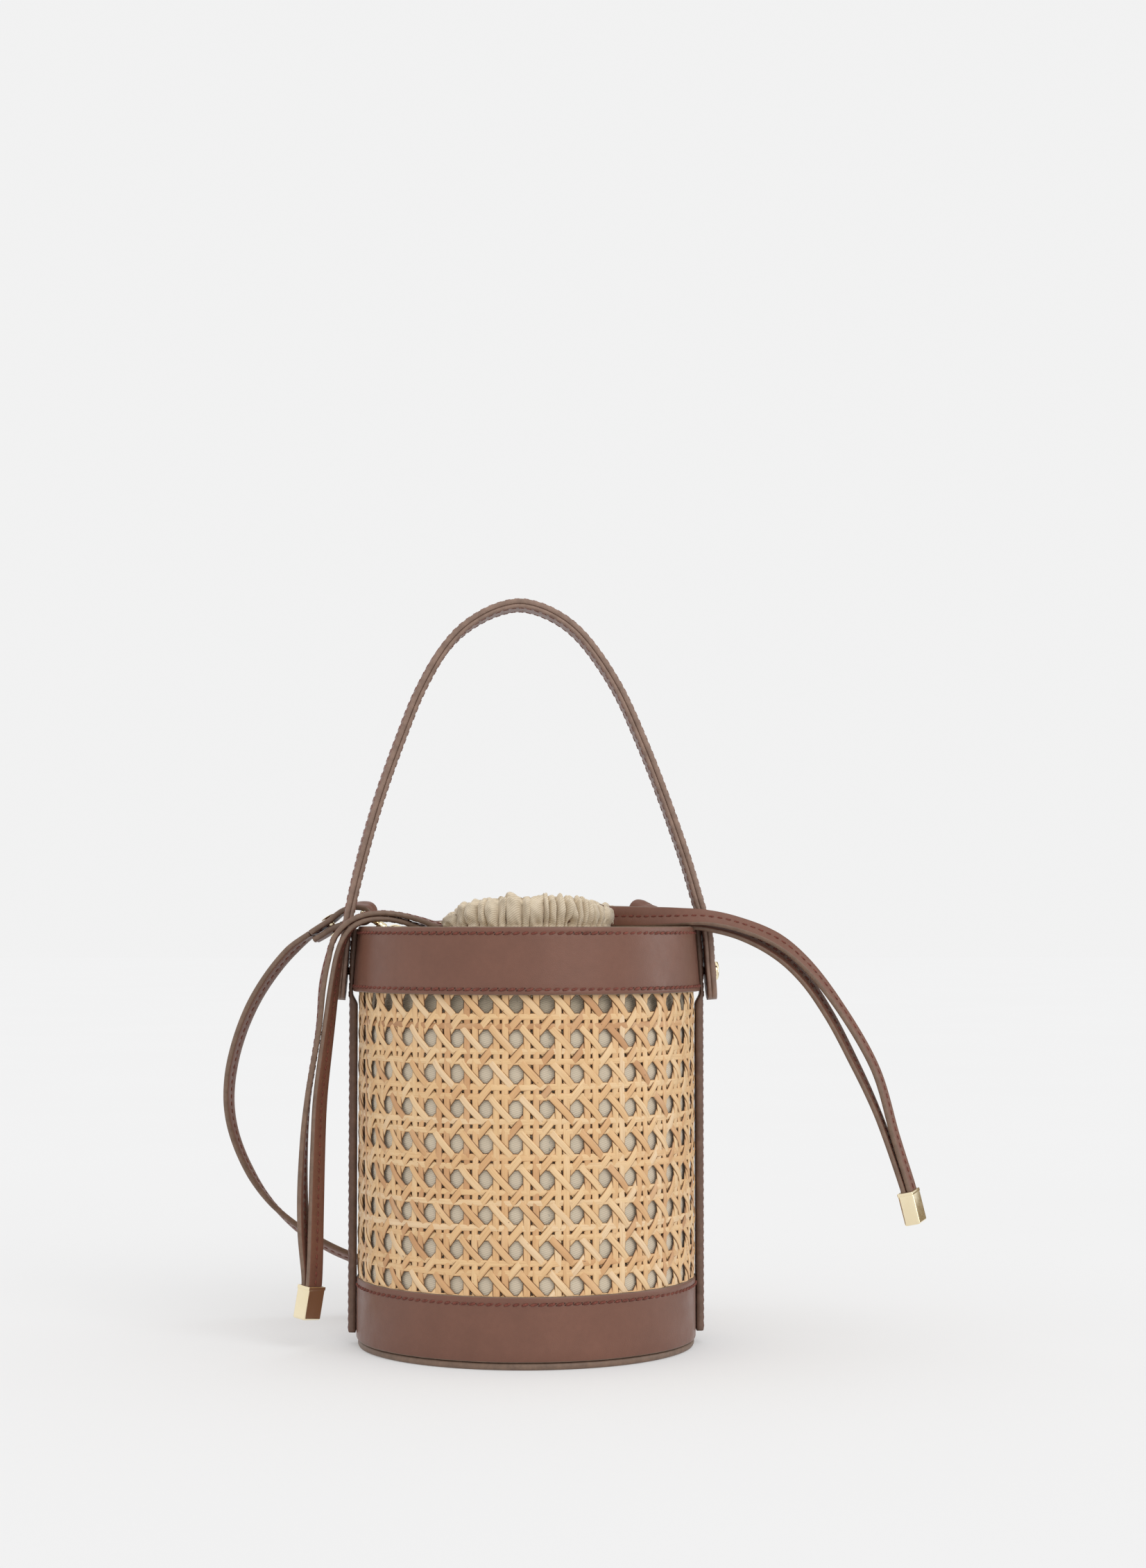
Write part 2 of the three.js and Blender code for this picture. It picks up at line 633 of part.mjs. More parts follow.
function claspHook() {
  const bore = barAlongX(BARREL.from - 1, BARREL.boreTo, 0, 0, BARREL.boreRadius, 12);
  const barrel = subtract(barAlongX(BARREL.from, BARREL.to, 0, 0, BARREL.radius, 16), bore);
  const { from, halfWidth, halfHeight, stopBefore } = HOOK_NECK;
  const neckTo = claspLength - stopBefore;
  const neck = boxBetween([from, -halfWidth, -halfHeight], [neckTo, halfWidth, halfHeight]);
  const arc = 360 - (BOW.mouthTo - BOW.mouthFrom);
  const outer = circlePoints(claspLength, 0, BOW.outer, 25, BOW.mouthTo, arc);
  const inner = circlePoints(claspLength, 0, BOW.inner, 25, BOW.mouthTo, arc).reverse();
  return ontoClaspLine(unite(barrel, neck, slab([...outer, ...inner], BOW.thick)));
}

function claspGate() {
  const middleR = (BOW.inner + BOW.outer) / 2;
  const from = BOW.mouthFrom + BOW.tipGap;
  const sweep = BOW.mouthTo - BOW.pivotGap - from;
  const outer = circlePoints(claspLength, 0, middleR + GATE.thick / 2, 8, from, sweep);
  const inner = circlePoints(claspLength, 0, middleR - GATE.thick / 2, 8, from, sweep).reverse();
  return ontoClaspLine(slab([...outer, ...inner], GATE.width));
}

// The strap's end folded round the swivel's bar and riveted back on itself.
const FOLD_LINE = [
  [91.0, 166.9], [87.2, 169.0], [83.2, 171.6], [78.0, 173.6], [73.0, 174.75], [69.7, 174.8],
  ...circlePoints(EYE.r, EYE.z, 3.2, 7, 270, -180).slice(1, -1), // round the swivel's bar
  [69.7, 181.2], [73.6, 181.2], [78.6, 179.3], [84.4, 174.9], [88.6, 172.3], [92.4, 169.9],
];
function strapEnd() {
  const rows = FOLD_LINE.map(([x, z]) => [x, 0, z, 0, 1, 0]);
  const strap = stripThrough(stationsAlong(rows, 44), STRAP.width, STRAP.thick);
  return subtract(strap, rivetBody(GAP));
}

function rivetBody(grow) {
  const reach = RIVET.halfLength + 1;
  const shank = barAlongX(-reach, reach, 0, 0, RIVET.radius + grow, 14);
  return shank.rotateY(-degrees(RIVET.tilt)).translate(RIVET.x, 0, RIVET.z);
}
function rivet() {
  const { halfLength, cap, capThick, radius, tilt, x, z } = RIVET;
  const overlap = 0.1;
  const shank = barAlongX(-halfLength - overlap, halfLength + overlap, 0, 0, radius, 14);
  const topCap = barAlongX(halfLength, halfLength + capThick, 0, 0, cap, 20);
  const lowCap = barAlongX(-halfLength - capThick, -halfLength, 0, 0, cap, 20);
  return unite(shank, topCap, lowCap).rotateY(-degrees(tilt)).translate(x, 0, z);
}

for (const [name, azimuth] of Object.entries(CORNER_AZIMUTH)) {
  const corner = new THREE.Group();
  corner.rotation.z = degrees(azimuth);
  bag.add(corner);
  addPart(`d_ring_tab_${name}`, dRingTab(), 'leather', corner);
  addPart(`d_ring_${name}`, dRing(), 'gold', corner);
  addPart(`clasp_swivel_${name}`, swivel(), 'gold', corner);
  addPart(`clasp_hook_${name}`, claspHook(), 'gold', corner);
  addPart(`clasp_gate_${name}`, claspGate(), 'gold', corner);
  addPart(`strap_end_${name}`, strapEnd(), 'strap', corner);
  addPart(`strap_rivet_${name}`, rivet(), 'gold', corner);
}

// ---------------------------------------------------------------- shoulder strap
// Left run: out from the left corner in a wide arc, down behind the bag to the coil on the ground.
const STRAP_LEFT = [
  [-90.9, 19.3, 169.5, 0.2, 1, 0],
  [-99, 21, 162.9, -0.12, 1, 0.2],
  [-108, 25, 152.6, -0.2, 1, 0.15],
  [-116.4, 30, 139.5, -0.24, 1, 0.1],
  [-122.6, 35, 125.0, -0.22, 1, 0.05],
  [-126.6, 40, 109.5, -0.14, 1, 0],
  [-127.6, 45, 95.0, 0.02, 1, 0],
  [-125.4, 50, 81.2, 0.14, 1, -0.06],
  [-119.2, 55, 65.6, 0.2, 1, -0.15],
  [-110.5, 61, 51.8, 0.2, 1, -0.2],
  [-98, 67, 39.4, 0.15, 1, -0.25],
  [-84, 73, 30.0, 0.1, 1, -0.2],
  [-68, 79, 22.6, 0.05, 1, 0.1],
  [-50, 82.6, 15.2, 0, 1, 0.7],
  [-34, 83.8, 9.0, 0, 0.5, 1],
  [-20, 83.9, 6.2, 0, 0.1, 1],
];
// Right run: from the right corner down the back of the bag and over the near side of the coil.
const STRAP_RIGHT = [
  [69.2, 62.3, 169.5, -0.67, 0.74, 0],
  [71.4, 64.3, 167.4, -0.67, 0.74, 0],
  [73.0, 67.0, 162.4, -0.68, 0.73, 0],
  [72.0, 70.2, 151.0, -0.7, 0.72, 0],
  [67.0, 74.6, 132.0, -0.8, 0.6, 0],
  [62.0, 79.0, 108.0, -0.9, 0.4, 0],
  [57.0, 82.0, 84.0, -0.9, 0.5, 0],
  [53.0, 84.6, 60.0, -0.7, 0.8, 0],
  [49.0, 86.6, 40.0, -0.3, 1, 0],
  [42.0, 87.8, 25.5, 0, 1, 0],
  [31.0, 88.2, 17.4, 0, 1, 0.1],
  [20.0, 88.2, 14.6, 0, 1, 0.2],
];
for (const [name, rows] of [['left', STRAP_LEFT], ['right', STRAP_RIGHT]]) {
  const run = stripThrough(stationsAlong(rows, 40), STRAP.width, STRAP.thick);
  addPart(`shoulder_strap_${name}`, run, 'strap');
}

const coilOutline = [
  [COIL.inner, COIL.low],
  [COIL.outer, COIL.low],
  [COIL.outer, COIL.high],
  [COIL.inner, COIL.high],
];
addPart('shoulder_strap_coil', turned(coilOutline).translate(COIL.x, COIL.y, 0), 'strap');

export default bag;
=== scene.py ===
import math

import bmesh
import bpy
import numpy as np
from mathutils import Matrix, Vector, noise


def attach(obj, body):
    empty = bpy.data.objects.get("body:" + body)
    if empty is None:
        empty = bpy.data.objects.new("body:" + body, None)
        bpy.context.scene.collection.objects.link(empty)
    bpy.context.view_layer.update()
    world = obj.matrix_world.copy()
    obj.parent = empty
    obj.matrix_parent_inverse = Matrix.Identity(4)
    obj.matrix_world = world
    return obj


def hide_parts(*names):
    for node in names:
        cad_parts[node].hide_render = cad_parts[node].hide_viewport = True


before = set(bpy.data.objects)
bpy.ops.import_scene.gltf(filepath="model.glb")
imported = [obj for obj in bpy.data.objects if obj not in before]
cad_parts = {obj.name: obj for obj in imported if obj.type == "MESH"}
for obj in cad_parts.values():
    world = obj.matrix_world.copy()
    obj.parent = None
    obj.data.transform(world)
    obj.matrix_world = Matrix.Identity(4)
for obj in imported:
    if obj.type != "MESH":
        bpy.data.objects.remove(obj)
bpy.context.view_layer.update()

MM = 0.001
SEED = 11

# ---- the part's sizes, in millimetres and degrees
RIM_Z = 172.6
WALL_R = 70.3
FLARE_R = 72.5
LEATHER = 1.4
LOWER_BAND_BOTTOM, LOWER_BAND_TOP = 3.1, 28.5
UPPER_BAND_BOTTOM = 145.8
CANE_R = 69.25
LINING_R = 65.9
POCKET_BOTTOM, POCKET_TOP, POCKET_HALF_ANGLE, POCKET_DIVIDER_X = 55.5, 134.0, 46.0, 7.7
STUD_Z = 154.0
STITCH_PITCH = 3.5
CORNERS = {"left": 168.0, "right": 42.0}
EYE = (69.7, 178.0)
RING_BAR = (63.0, 161.5)


def linked(name, data):
    """A new object in the scene."""
    made = bpy.data.objects.new(name, data)
    bpy.context.scene.collection.objects.link(made)
    return made


# ---- camera at the photograph's angle
def make_camera():
    """Fitted to the outlines of the bands and the handle."""
    data = bpy.data.cameras.new("camera")
    data.sensor_width = 36.0
    data.lens = 60.96
    camera = linked("camera", data)
    camera.location = (-0.0194, -1.1128, 0.1742)
    camera.rotation_euler = (math.radians(90 + 2.986), 0.0, math.radians(-1.997))
    bpy.context.scene.camera = camera


make_camera()


# ---- materials
class Look:
    """A node material: a Principled shader and small helpers that add nodes to it."""

    def __init__(self, name, roughness=0.5, metallic=0.0, specular=0.5, coat=0.0, sheen=0.0):
        self.mat = bpy.data.materials.new(name)
        self.mat.use_nodes = True
        self.tree = self.mat.node_tree
        self.bsdf = self.tree.nodes["Principled BSDF"]
        for socket, value in (
            ("Roughness", roughness), ("Metallic", metallic), ("Specular IOR Level", specular),
            ("Coat Weight", coat), ("Coat Roughness", 0.25), ("Sheen Weight", sheen),
        ):
            self.bsdf.inputs[socket].default_value = value
        self.coords = self.node("ShaderNodeTexCoord")

    def node(self, kind, **values):
        made = self.tree.nodes.new(kind)
        for key, value in values.items():
            if key in made.inputs:
                made.inputs[key].default_value = value
            else:
                setattr(made, key, value)
        return made

    def link(self, source, target):
        """Feed a socket from a node's output, or set a plain value on it."""
        if hasattr(source, "is_linked"):
            self.tree.links.new(source, target)
        else:
            target.default_value = source

    def place(self, scale=(1, 1, 1), rotate=(0, 0, 0), uv=False):
        mapping = self.node("ShaderNodeMapping", Scale=scale, Rotation=rotate)
        self.link(self.coords.outputs["UV" if uv else "Object"], mapping.inputs["Vector"])
        return mapping.outputs["Vector"]

    def noise(self, scale, detail=3.0, roughness=0.55, at=None):
        made = self.node("ShaderNodeTexNoise", Scale=scale, Detail=detail, Roughness=roughness)
        self.link(at or self.coords.outputs["Object"], made.inputs["Vector"])
        return made.outputs["Fac"]

    def ramp(self, source, stops):
        made = self.node("ShaderNodeValToRGB")
        elements = made.color_ramp.elements
        while len(elements) < len(stops):
            elements.new(0.5)
        for element, (place, colour) in zip(elements, stops):
            element.position = place
            element.color = (*colour, 1.0)
        self.link(source, made.inputs["Fac"])
        return made.outputs["Color"]

    def spread(self, source, low, high, start=0.3, end=0.7):
        made = self.node("ShaderNodeMapRange")
        for key, value in zip(("From Min", "From Max", "To Min", "To Max"), (start, end, low, high)):
            made.inputs[key].default_value = value
        self.link(source, made.inputs["Value"])
        return made.outputs["Result"]

    def mix(self, factor, first, second):
        made = self.node("ShaderNodeMix", data_type="RGBA")
        for index, value in ((0, factor), (6, first), (7, second)):
            self.link((*value, 1.0) if isinstance(value, tuple) else value, made.inputs[index])
        return made.outputs[2]

    def colour(self, source):
        self.link(source, self.bsdf.inputs["Base Color"])

    def mottle(self, dark, light, scale, detail=3.0, roughness=0.55):
        """A colour that drifts between two tones."""
        self.colour(self.ramp(self.noise(scale, detail, roughness), [(0.3, dark), (0.7, light)]))

    def rough(self, source):
        self.link(source, self.bsdf.inputs["Roughness"])

    def bump(self, height, depth, strength=1.0):
        made = self.node("ShaderNodeBump", Strength=strength, Distance=depth)
        self.link(height, made.inputs["Height"])
        previous = self.bsdf.inputs["Normal"]
        if previous.is_linked:
            self.link(previous.links[0].from_socket, made.inputs["Normal"])
        self.link(made.outputs["Normal"], previous)


PORE_DEPTH = 0.00004


def shade(colour, factor):
    return tuple(min(1.0, c * factor) for c in colour)


def leather_look(name, base, roughness=0.36):
    """Smooth calf leather: cloudy tone, fine pores and a soft uneven surface."""
    look = Look(name, roughness, specular=0.32)
    cloudy = look.noise(38.0, 4.0, 0.6)
    fine = look.noise(420.0, 3.0, 0.6)
    tone = look.ramp(cloudy, [(0.3, shade(base, 0.9)), (0.5, base), (0.72, shade(base, 1.1))])
    look.colour(look.mix(look.spread(fine, 0.0, 0.22), tone, shade(base, 0.72)))
    look.rough(look.spread(look.noise(160.0, 3.0), roughness - 0.05, roughness + 0.08))
    pores = look.node("ShaderNodeTexVoronoi", Scale=1500.0, feature="DISTANCE_TO_EDGE")
    look.link(look.coords.outputs["Object"], pores.inputs["Vector"])
    look.bump(look.spread(pores.outputs["Distance"], 0.0, 1.0, 0.0, 0.25), PORE_DEPTH, 0.5)
    look.bump(look.noise(900.0, 2.0), PORE_DEPTH * 0.7, 0.5)
    look.bump(look.noise(60.0, 2.0), 0.0003, 0.25)
    return look.mat


def edge_look(name, base):
    """Cut leather edges sealed with paint."""
    look = Look(name, 0.5, specular=0.4)
    look.mottle(shade(base, 0.75), shade(base, 1.18), 260.0, 4.0, 0.7)
    look.bump(look.noise(700.0, 3.0, 0.6), 0.00008, 0.6)
    return look.mat


def thread_look(name, base):
    """Waxed thread with its twist."""
    look = Look(name, 0.65, specular=0.2)
    look.mottle(shade(base, 0.6), shade(base, 1.3), 900.0, 2.0, 0.6)
    twist = look.node("ShaderNodeTexWave", Scale=520.0, Distortion=1.0)
    look.link(look.place(rotate=(0.4, 0.6, 0.7)), twist.inputs["Vector"])
    look.bump(twist.outputs["Fac"], 0.00012, 0.6)
    return look.mat


def cane_look():
    """Peeled cane: each strand's own tone, darker fibres along it and small specks; the tone attribute also
    carries painted shade, darkening each strand's flanks and the flange under it.
    """
    look = Look("cane_strand", 0.42, coat=0.08)
    # tone near 0 is painted shade on the strands' flanks and undersides; the rest is each strand's own tone
    tone = look.node("ShaderNodeAttribute", attribute_name="tone")
    honey = look.ramp(tone.outputs["Fac"], [
        (0.0, (0.12, 0.055, 0.022)),
        (0.2, (0.36, 0.17, 0.07)),
        (0.38, (0.56, 0.30, 0.135)),
        (0.5, (0.67, 0.40, 0.185)),
        (0.68, (0.745, 0.495, 0.25)),
        (0.84, (0.765, 0.535, 0.295)),
        (1.0, (0.77, 0.565, 0.35)),
    ])
    along = look.place(scale=(1500.0, 26.0, 1.0), uv=True)
    streak = look.noise(1.0, 4.0, 0.65, at=along)
    broad = look.noise(1.0, 2.0, 0.5, at=look.place(scale=(160.0, 45.0, 1.0), uv=True))
    speck = look.noise(1.0, 1.0, 0.5, at=look.place(scale=(1100.0, 420.0, 1.0), uv=True))
    colour = look.mix(look.spread(streak, 0.0, 0.5, 0.45, 0.75), honey, (0.46, 0.245, 0.105))
    colour = look.mix(look.spread(broad, 0.0, 0.42, 0.5, 0.8), colour, (0.78, 0.57, 0.35))
    look.colour(look.mix(look.spread(speck, 0.0, 0.85, 0.74, 0.8), colour, (0.20, 0.10, 0.045)))
    look.rough(look.spread(streak, 0.34, 0.55))
    look.bump(streak, 0.0001, 0.7)
    return look.mat


def twill_look(name, base, dark, lines_per_unit, relief):
    """Cotton twill with its slanting lines."""
    look = Look(name, 0.85, specular=0.25, sheen=0.3)
    lines = look.node("ShaderNodeTexWave", Scale=lines_per_unit, Distortion=0.4, Detail=1.0)
    lines.inputs["Detail Scale"].default_value = 2.0
    look.link(look.place(rotate=(0.0, 0.0, math.radians(72.0)), uv=True), lines.inputs["Vector"])
    yarn = look.noise(2600.0, 2.0, 0.6)
    cloudy = look.noise(30.0, 3.0)
    tone = look.ramp(cloudy, [(0.3, shade(base, 0.94)), (0.7, shade(base, 1.05))])
    tone = look.mix(look.spread(lines.outputs["Fac"], 0.55, 0.0, 0.1, 0.75), tone, dark)
    look.colour(look.mix(look.spread(yarn, 0.0, 0.2), tone, dark))
    look.bump(lines.outputs["Fac"], relief, 0.8)
    look.bump(yarn, 0.00005, 0.5)
    return look.mat


def gold_look():
    look = Look("gold_plating", 0.16, metallic=1.0)
    look.mottle((0.92, 0.79, 0.53), (0.97, 0.86, 0.62), 55.0)
    look.rough(look.spread(look.noise(500.0, 4.0, 0.7), 0.10, 0.24))
    look.bump(look.noise(1400.0, 2.0), 0.00001, 0.4)
    return look.mat


def board_look():
    look = Look("fibre_board", 0.8, specular=0.2)
    look.mottle((0.22, 0.17, 0.11), (0.38, 0.31, 0.22), 700.0, 5.0, 0.7)
    look.bump(look.noise(900.0, 3.0), 0.0001, 0.6)
    return look.mat


def floor_look():
    look = Look("glowing_floor_paper", 1.0, specular=0.0)
    look.mottle((0.556, 0.556, 0.557), (0.562, 0.562, 0.563), 3.0, 2.0)
    # the floor glows evenly: painted light that thins the bag's shadow on it and lights the bag a little from
    # below
    look.bsdf.inputs["Emission Color"].default_value = (1.0, 1.0, 1.0, 1.0)
    look.bsdf.inputs["Emission Strength"].default_value = 0.27
    return look.mat


TAUPE = (0.178, 0.080, 0.054)
BODY_LEATHER = leather_look("body_leather", TAUPE)
HANDLE_LEATHER = leather_look("handle_leather", shade(TAUPE, 1.02), 0.42)
STRAP_LEATHER = leather_look("strap_leather", TAUPE, 0.42)
TRIM_LEATHER = leather_look("trim_leather", shade(TAUPE, 0.8), 0.45)
SOLE_LEATHER = leather_look("sole_leather", shade(TAUPE, 0.9), 0.55)
EDGE_PAINT = edge_look("painted_edge", (0.188, 0.120, 0.084))
HANDLE_EDGE = edge_look("handle_edge", (0.25, 0.162, 0.122))
DARK_EDGE = edge_look("dark_edge", (0.15, 0.088, 0.062))
THREAD = thread_look("red_brown_thread", (0.175, 0.054, 0.038))
HANDLE_THREAD = thread_look("handle_thread", (0.24, 0.105, 0.078))
DARK_THREAD = thread_look("dark_thread", (0.10, 0.045, 0.035))
PALE_THREAD = thread_look("pale_thread", (0.60, 0.54, 0.43))
# painted shade: a dark disc stands in for the shadow inside each needle hole
NEEDLE_HOLE_SHADE = thread_look("needle_hole_shade", (0.05, 0.024, 0.018))
CANE = cane_look()
LINING = twill_look("lining_twill", (0.70, 0.595, 0.455), (0.52, 0.44, 0.325), 390.0, 0.00011)
COLLAR = twill_look("collar_twill", (0.77, 0.655, 0.49), (0.50, 0.41, 0.29), 400.0, 0.00013)
GOLD = gold_look()
BOARD = board_look()


# ---- mesh helpers
def new_object(name, verts, faces, materials, indices=None, uvs=None, tones=None):
    """A mesh from points in millimetres; uvs and tones are given per vertex."""
    mesh = bpy.data.meshes.new(name)
    mesh.from_pydata((np.asarray(verts, float) * MM).tolist(), [], [list(map(int, f)) for f in faces])
    for material in materials:
        mesh.materials.append(material)
    if indices is not None:
        mesh.polygons.foreach_set("material_index", np.asarray(indices, np.int32))
    mesh.polygons.foreach_set("use_smooth", np.ones(len(mesh.polygons), bool))
    if uvs is not None:
        layer = mesh.uv_layers.new(name="UVMap")
        loops = np.empty(len(mesh.loops), np.int32)
        mesh.loops.foreach_get("vertex_index", loops)
        layer.data.foreach_set("uv", np.asarray(uvs, float)[loops].ravel())
    if tones is not None:
        attribute = mesh.attributes.new("tone", "FLOAT", "POINT")
        attribute.data.foreach_set("value", np.asarray(tones, float))
    mesh.update()
    return linked(name, mesh)


def grid_faces(rows, columns, wrap_rows=False, wrap_columns=False):
    """Quads between neighbouring points of a grid."""
    faces = []
    for i in range(rows if wrap_rows else rows - 1):
        for j in range(columns if wrap_columns else columns - 1):
            a, b = i * columns + j, i * columns + (j + 1) % columns
            c, d = ((i + 1) % rows) * columns + (j + 1) % columns, ((i + 1) % rows) * columns + j
            faces.append((a, b, c, d))
    return faces


def tube_faces(rings, sides):
    """An open row of rings with a cap on both ends."""
    caps = [tuple(range(sides))[::-1], tuple((rings - 1) * sides + k for k in range(sides))]
    return grid_faces(rings, sides, wrap_columns=True) + caps


def unit(v):
    return v / np.maximum(np.linalg.norm(v, axis=-1, keepdims=True), 1e-9)


def columns_of(*values):
    """Coordinates side by side; single numbers are repeated to the others' length."""
    return np.stack(np.broadcast_arrays(*(np.asarray(v, float) for v in values)), -1)


def circle_points(degrees_, radius=1.0):
    """x and y on a circle, at angles in degrees."""
    angle = np.radians(degrees_)
    return radius * np.cos(angle), radius * np.sin(angle)


def part(made, body, slot, *replaced):
    """Say which body a piece rides and which solids it stands for; slot, the finish, is not used."""
    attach(made, body)
    if replaced:
        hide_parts(*replaced)
    return made


def centripetal(rows, count):
    """The curve that the solids follow too: centripetal Catmull-Rom through the rows' points."""
    points = np.array([row[:3] for row in rows], float)
    n = len(points)
    padded = np.vstack([2 * points[0] - points[1], points, 2 * points[-1] - points[-2]])
    out = []
    for step in range(count + 1):
        place = (n - 1) * step / count
        k = min(int(place), n - 2)
        w = place - k
        p0, p1, p2, p3 = padded[k:k + 4]
        d0, d1, d2 = (max(np.linalg.norm(b - a) ** 0.5, 1e-4) for a, b in ((p0, p1), (p1, p2), (p2, p3)))
        t1 = ((p1 - p0) / d0 - (p2 - p0) / (d0 + d1) + (p2 - p1) / d1) * d1
        t2 = ((p2 - p1) / d1 - (p3 - p1) / (d1 + d2) + (p3 - p2) / d2) * d1
        square = -3 * p1 + 3 * p2 - 2 * t1 - t2
        cube = 2 * p1 - 2 * p2 + t1 + t2
        out.append(p1 + t1 * w + square * w ** 2 + cube * w ** 3)
    return np.array(out)


def interpolated(at, places, values):
    """Each column of values, between the places where it is known."""
    return np.stack([np.interp(at, places, column) for column in values.T], -1)


def distances(points):
    """How far along the line each point is."""
    return np.concatenate([[0], np.cumsum(np.linalg.norm(np.diff(points, axis=0), axis=1))])


class Route:
    """A strap's centre line at even steps, with its direction, width direction and face normal."""

    def __init__(self, rows, step=0.9, dense=600):
        rows = np.array(rows, float)
        points = centripetal(rows, dense)
        place = np.linspace(0, len(rows) - 1, dense + 1)
        across = interpolated(place, np.arange(len(rows)), rows[:, 3:6])
        along = distances(points)
        count = max(8, int(round(along[-1] / step)))
        self.length = along[-1]
        self.s = np.linspace(0, self.length, count + 1)
        self.p = interpolated(self.s, along, points)
        across = interpolated(self.s, along, across)
        self.t = unit(np.gradient(self.p, axis=0))
        self.a = unit(across - (across * self.t).sum(1, keepdims=True) * self.t)
        self.n = np.cross(self.t, self.a)

    def at(self, s):
        points, *directions = (interpolated(s, self.s, v) for v in (self.p, self.t, self.a, self.n))
        return points, *(unit(v) for v in directions)


# the upper half of a strap's section: share of its width, share of its thickness
STRAP_PROFILE = [
    (-0.5, 0.0), (-0.492, 0.26), (-0.455, 0.43), (-0.40, 0.49), (-0.22, 0.5), (-0.10, 0.47), (0.0, 0.40),
    (0.10, 0.47), (0.22, 0.5), (0.40, 0.49), (0.455, 0.43), (0.492, 0.26),
]
HANDLE_PROFILE = [
    (-0.5, 0.0), (-0.494, 0.30), (-0.47, 0.45), (-0.43, 0.49), (-0.385, 0.44), (-0.34, 0.5), (-0.15, 0.54),
    (0.15, 0.54), (0.34, 0.5), (0.385, 0.44), (0.43, 0.49), (0.47, 0.45), (0.494, 0.30),
]


def ribbon(name, route, width, thick, top, materials, shift=0.0, widths=1.0, wobble=0.12, edge_share=0.45):
    """A strap lofted along a route; edge segments get the second material."""
    outline = np.array(top + [(-s, -f) for s, f in top])
    m, n = len(route.p), len(outline)
    rng = np.random.default_rng(len(name) + SEED)
    phase = rng.uniform(0, 6.28, 3)
    drift = wobble * (np.sin(route.s / 9.0 + phase[0]) + 0.6 * np.sin(route.s / 4.1 + phase[1]))
    pucker = 1.0 + 0.06 * np.cos(2 * np.pi * route.s / STITCH_PITCH)
    verts = np.empty((m, n, 3))
    for k, (s, f) in enumerate(outline):
        groove = pucker if abs(s) < 0.3 else 1.0
        verts[:, k] = (
            route.p
            + route.a * (s * width * widths + 0.3 * drift)[:, None]
            + route.n * (f * thick * groove + shift + 0.25 * drift * wobble)[:, None]
        )
    middles = abs(outline[:, 0] + np.roll(outline[:, 0], -1)) / 2
    indices = [int(middle > edge_share) for middle in middles] * (m - 1) + [1, 1]
    return new_object(name, verts.reshape(-1, 3), tube_faces(m, n), materials, indices)


def flat_strap(name, route, width, thick, leather=None, wobble=0.12):
    """A plain strap with painted edges."""
    materials = [leather or STRAP_LEATHER, EDGE_PAINT]
    return ribbon(name, route, width, thick, STRAP_PROFILE, materials, wobble=wobble)


def stitch_mesh(name, places, thread=None, length=3.1, radius=0.5, lift=0.16, slant=14.0, holes=True):
    """Raised stitches: places is a list of (points, along, across, normal) arrays."""
    rings, sides, hole_sides = 7, 8, 7
    rng = np.random.default_rng(len(name) * 7 + SEED)
    verts, faces, indices = [], [], []
    base = 0
    t = np.linspace(-1, 1, rings)
    reach = np.sqrt(np.maximum(1 - (0.96 * t) ** 6, 0.0))
    angle = np.arange(sides) * 2 * np.pi / sides
    stitch_faces = tube_faces(rings, sides)
    hole_angles = np.arange(hole_sides) * 2 * np.pi / hole_sides
    disc = [(0.34 * math.cos(a), 0.27 * math.sin(a)) for a in hole_angles]
    for p, d, c, u in (stitch for row in places for stitch in zip(*row)):
        turn = math.radians(slant + rng.uniform(-3.5, 3.5))
        x = d * math.cos(turn) + c * math.sin(turn)
        y = c * math.cos(turn) - d * math.sin(turn)
        size = rng.uniform(0.94, 1.06)
        for k in range(rings):
            r = radius * reach[k] * (1.0 + 0.16 * np.cos(2 * (angle + 2.6 * t[k]))) * size
            rise = lift - 0.42 * t[k] ** 4
            verts.append(
                p + x * (t[k] * length / 2)
                + np.outer(r * np.cos(angle), y) + np.outer(r * np.sin(angle) * 0.85 + rise, u)
            )
        faces += [tuple(base + v for v in f) for f in stitch_faces]
        indices += [0] * len(stitch_faces)
        base += rings * sides
        # with holes, a dark disc at each end of a stitch: painted shade of the needle hole
        for end in (-1, 1) if holes else ():
            centre = p + x * end * (length / 2 + 0.1) + u * 0.03
            verts.append(np.array([centre + d * a + c * b for a, b in disc]))
            faces.append(tuple(base + v for v in range(hole_sides)))
            indices.append(1)
            base += hole_sides
    return new_object(name, np.vstack(verts), faces, [thread or THREAD, NEEDLE_HOLE_SHADE], indices)


def stitches_on(route, offset, face, start=3.0, end=3.0, height=0.0):
    """Stitch places along a route, offset across it, on its face +1 or -1 at that height."""
    run = route.length - start - end
    count = max(1, int(run / STITCH_PITCH))
    p, t, a, n = route.at(start + (np.arange(count) + 0.5) * run / count)
    return p + a * offset + n * face * height, t, a, n * face


def sewn(body, slot, name, places, **how):
    """Rows of stitches as a piece of their own."""
    return part(stitch_mesh(name, places, **how), body, slot)


def both_faces(route, thick):
    """Stitch places along the middle of both faces of a strap."""
    return [stitches_on(route, 0.0, face, height=thick * 0.40) for face in (1, -1)]


def upright_stitches(x, y, heights):
    """Stitch places one above the other, facing away from the bag's axis."""
    points = columns_of(x, y, heights)
    normal = unit(points * (1.0, 1.0, 0.0))
    along = np.tile([0.0, 0.0, 1.0], (len(points), 1))
    return points, along, np.cross(normal, along), normal


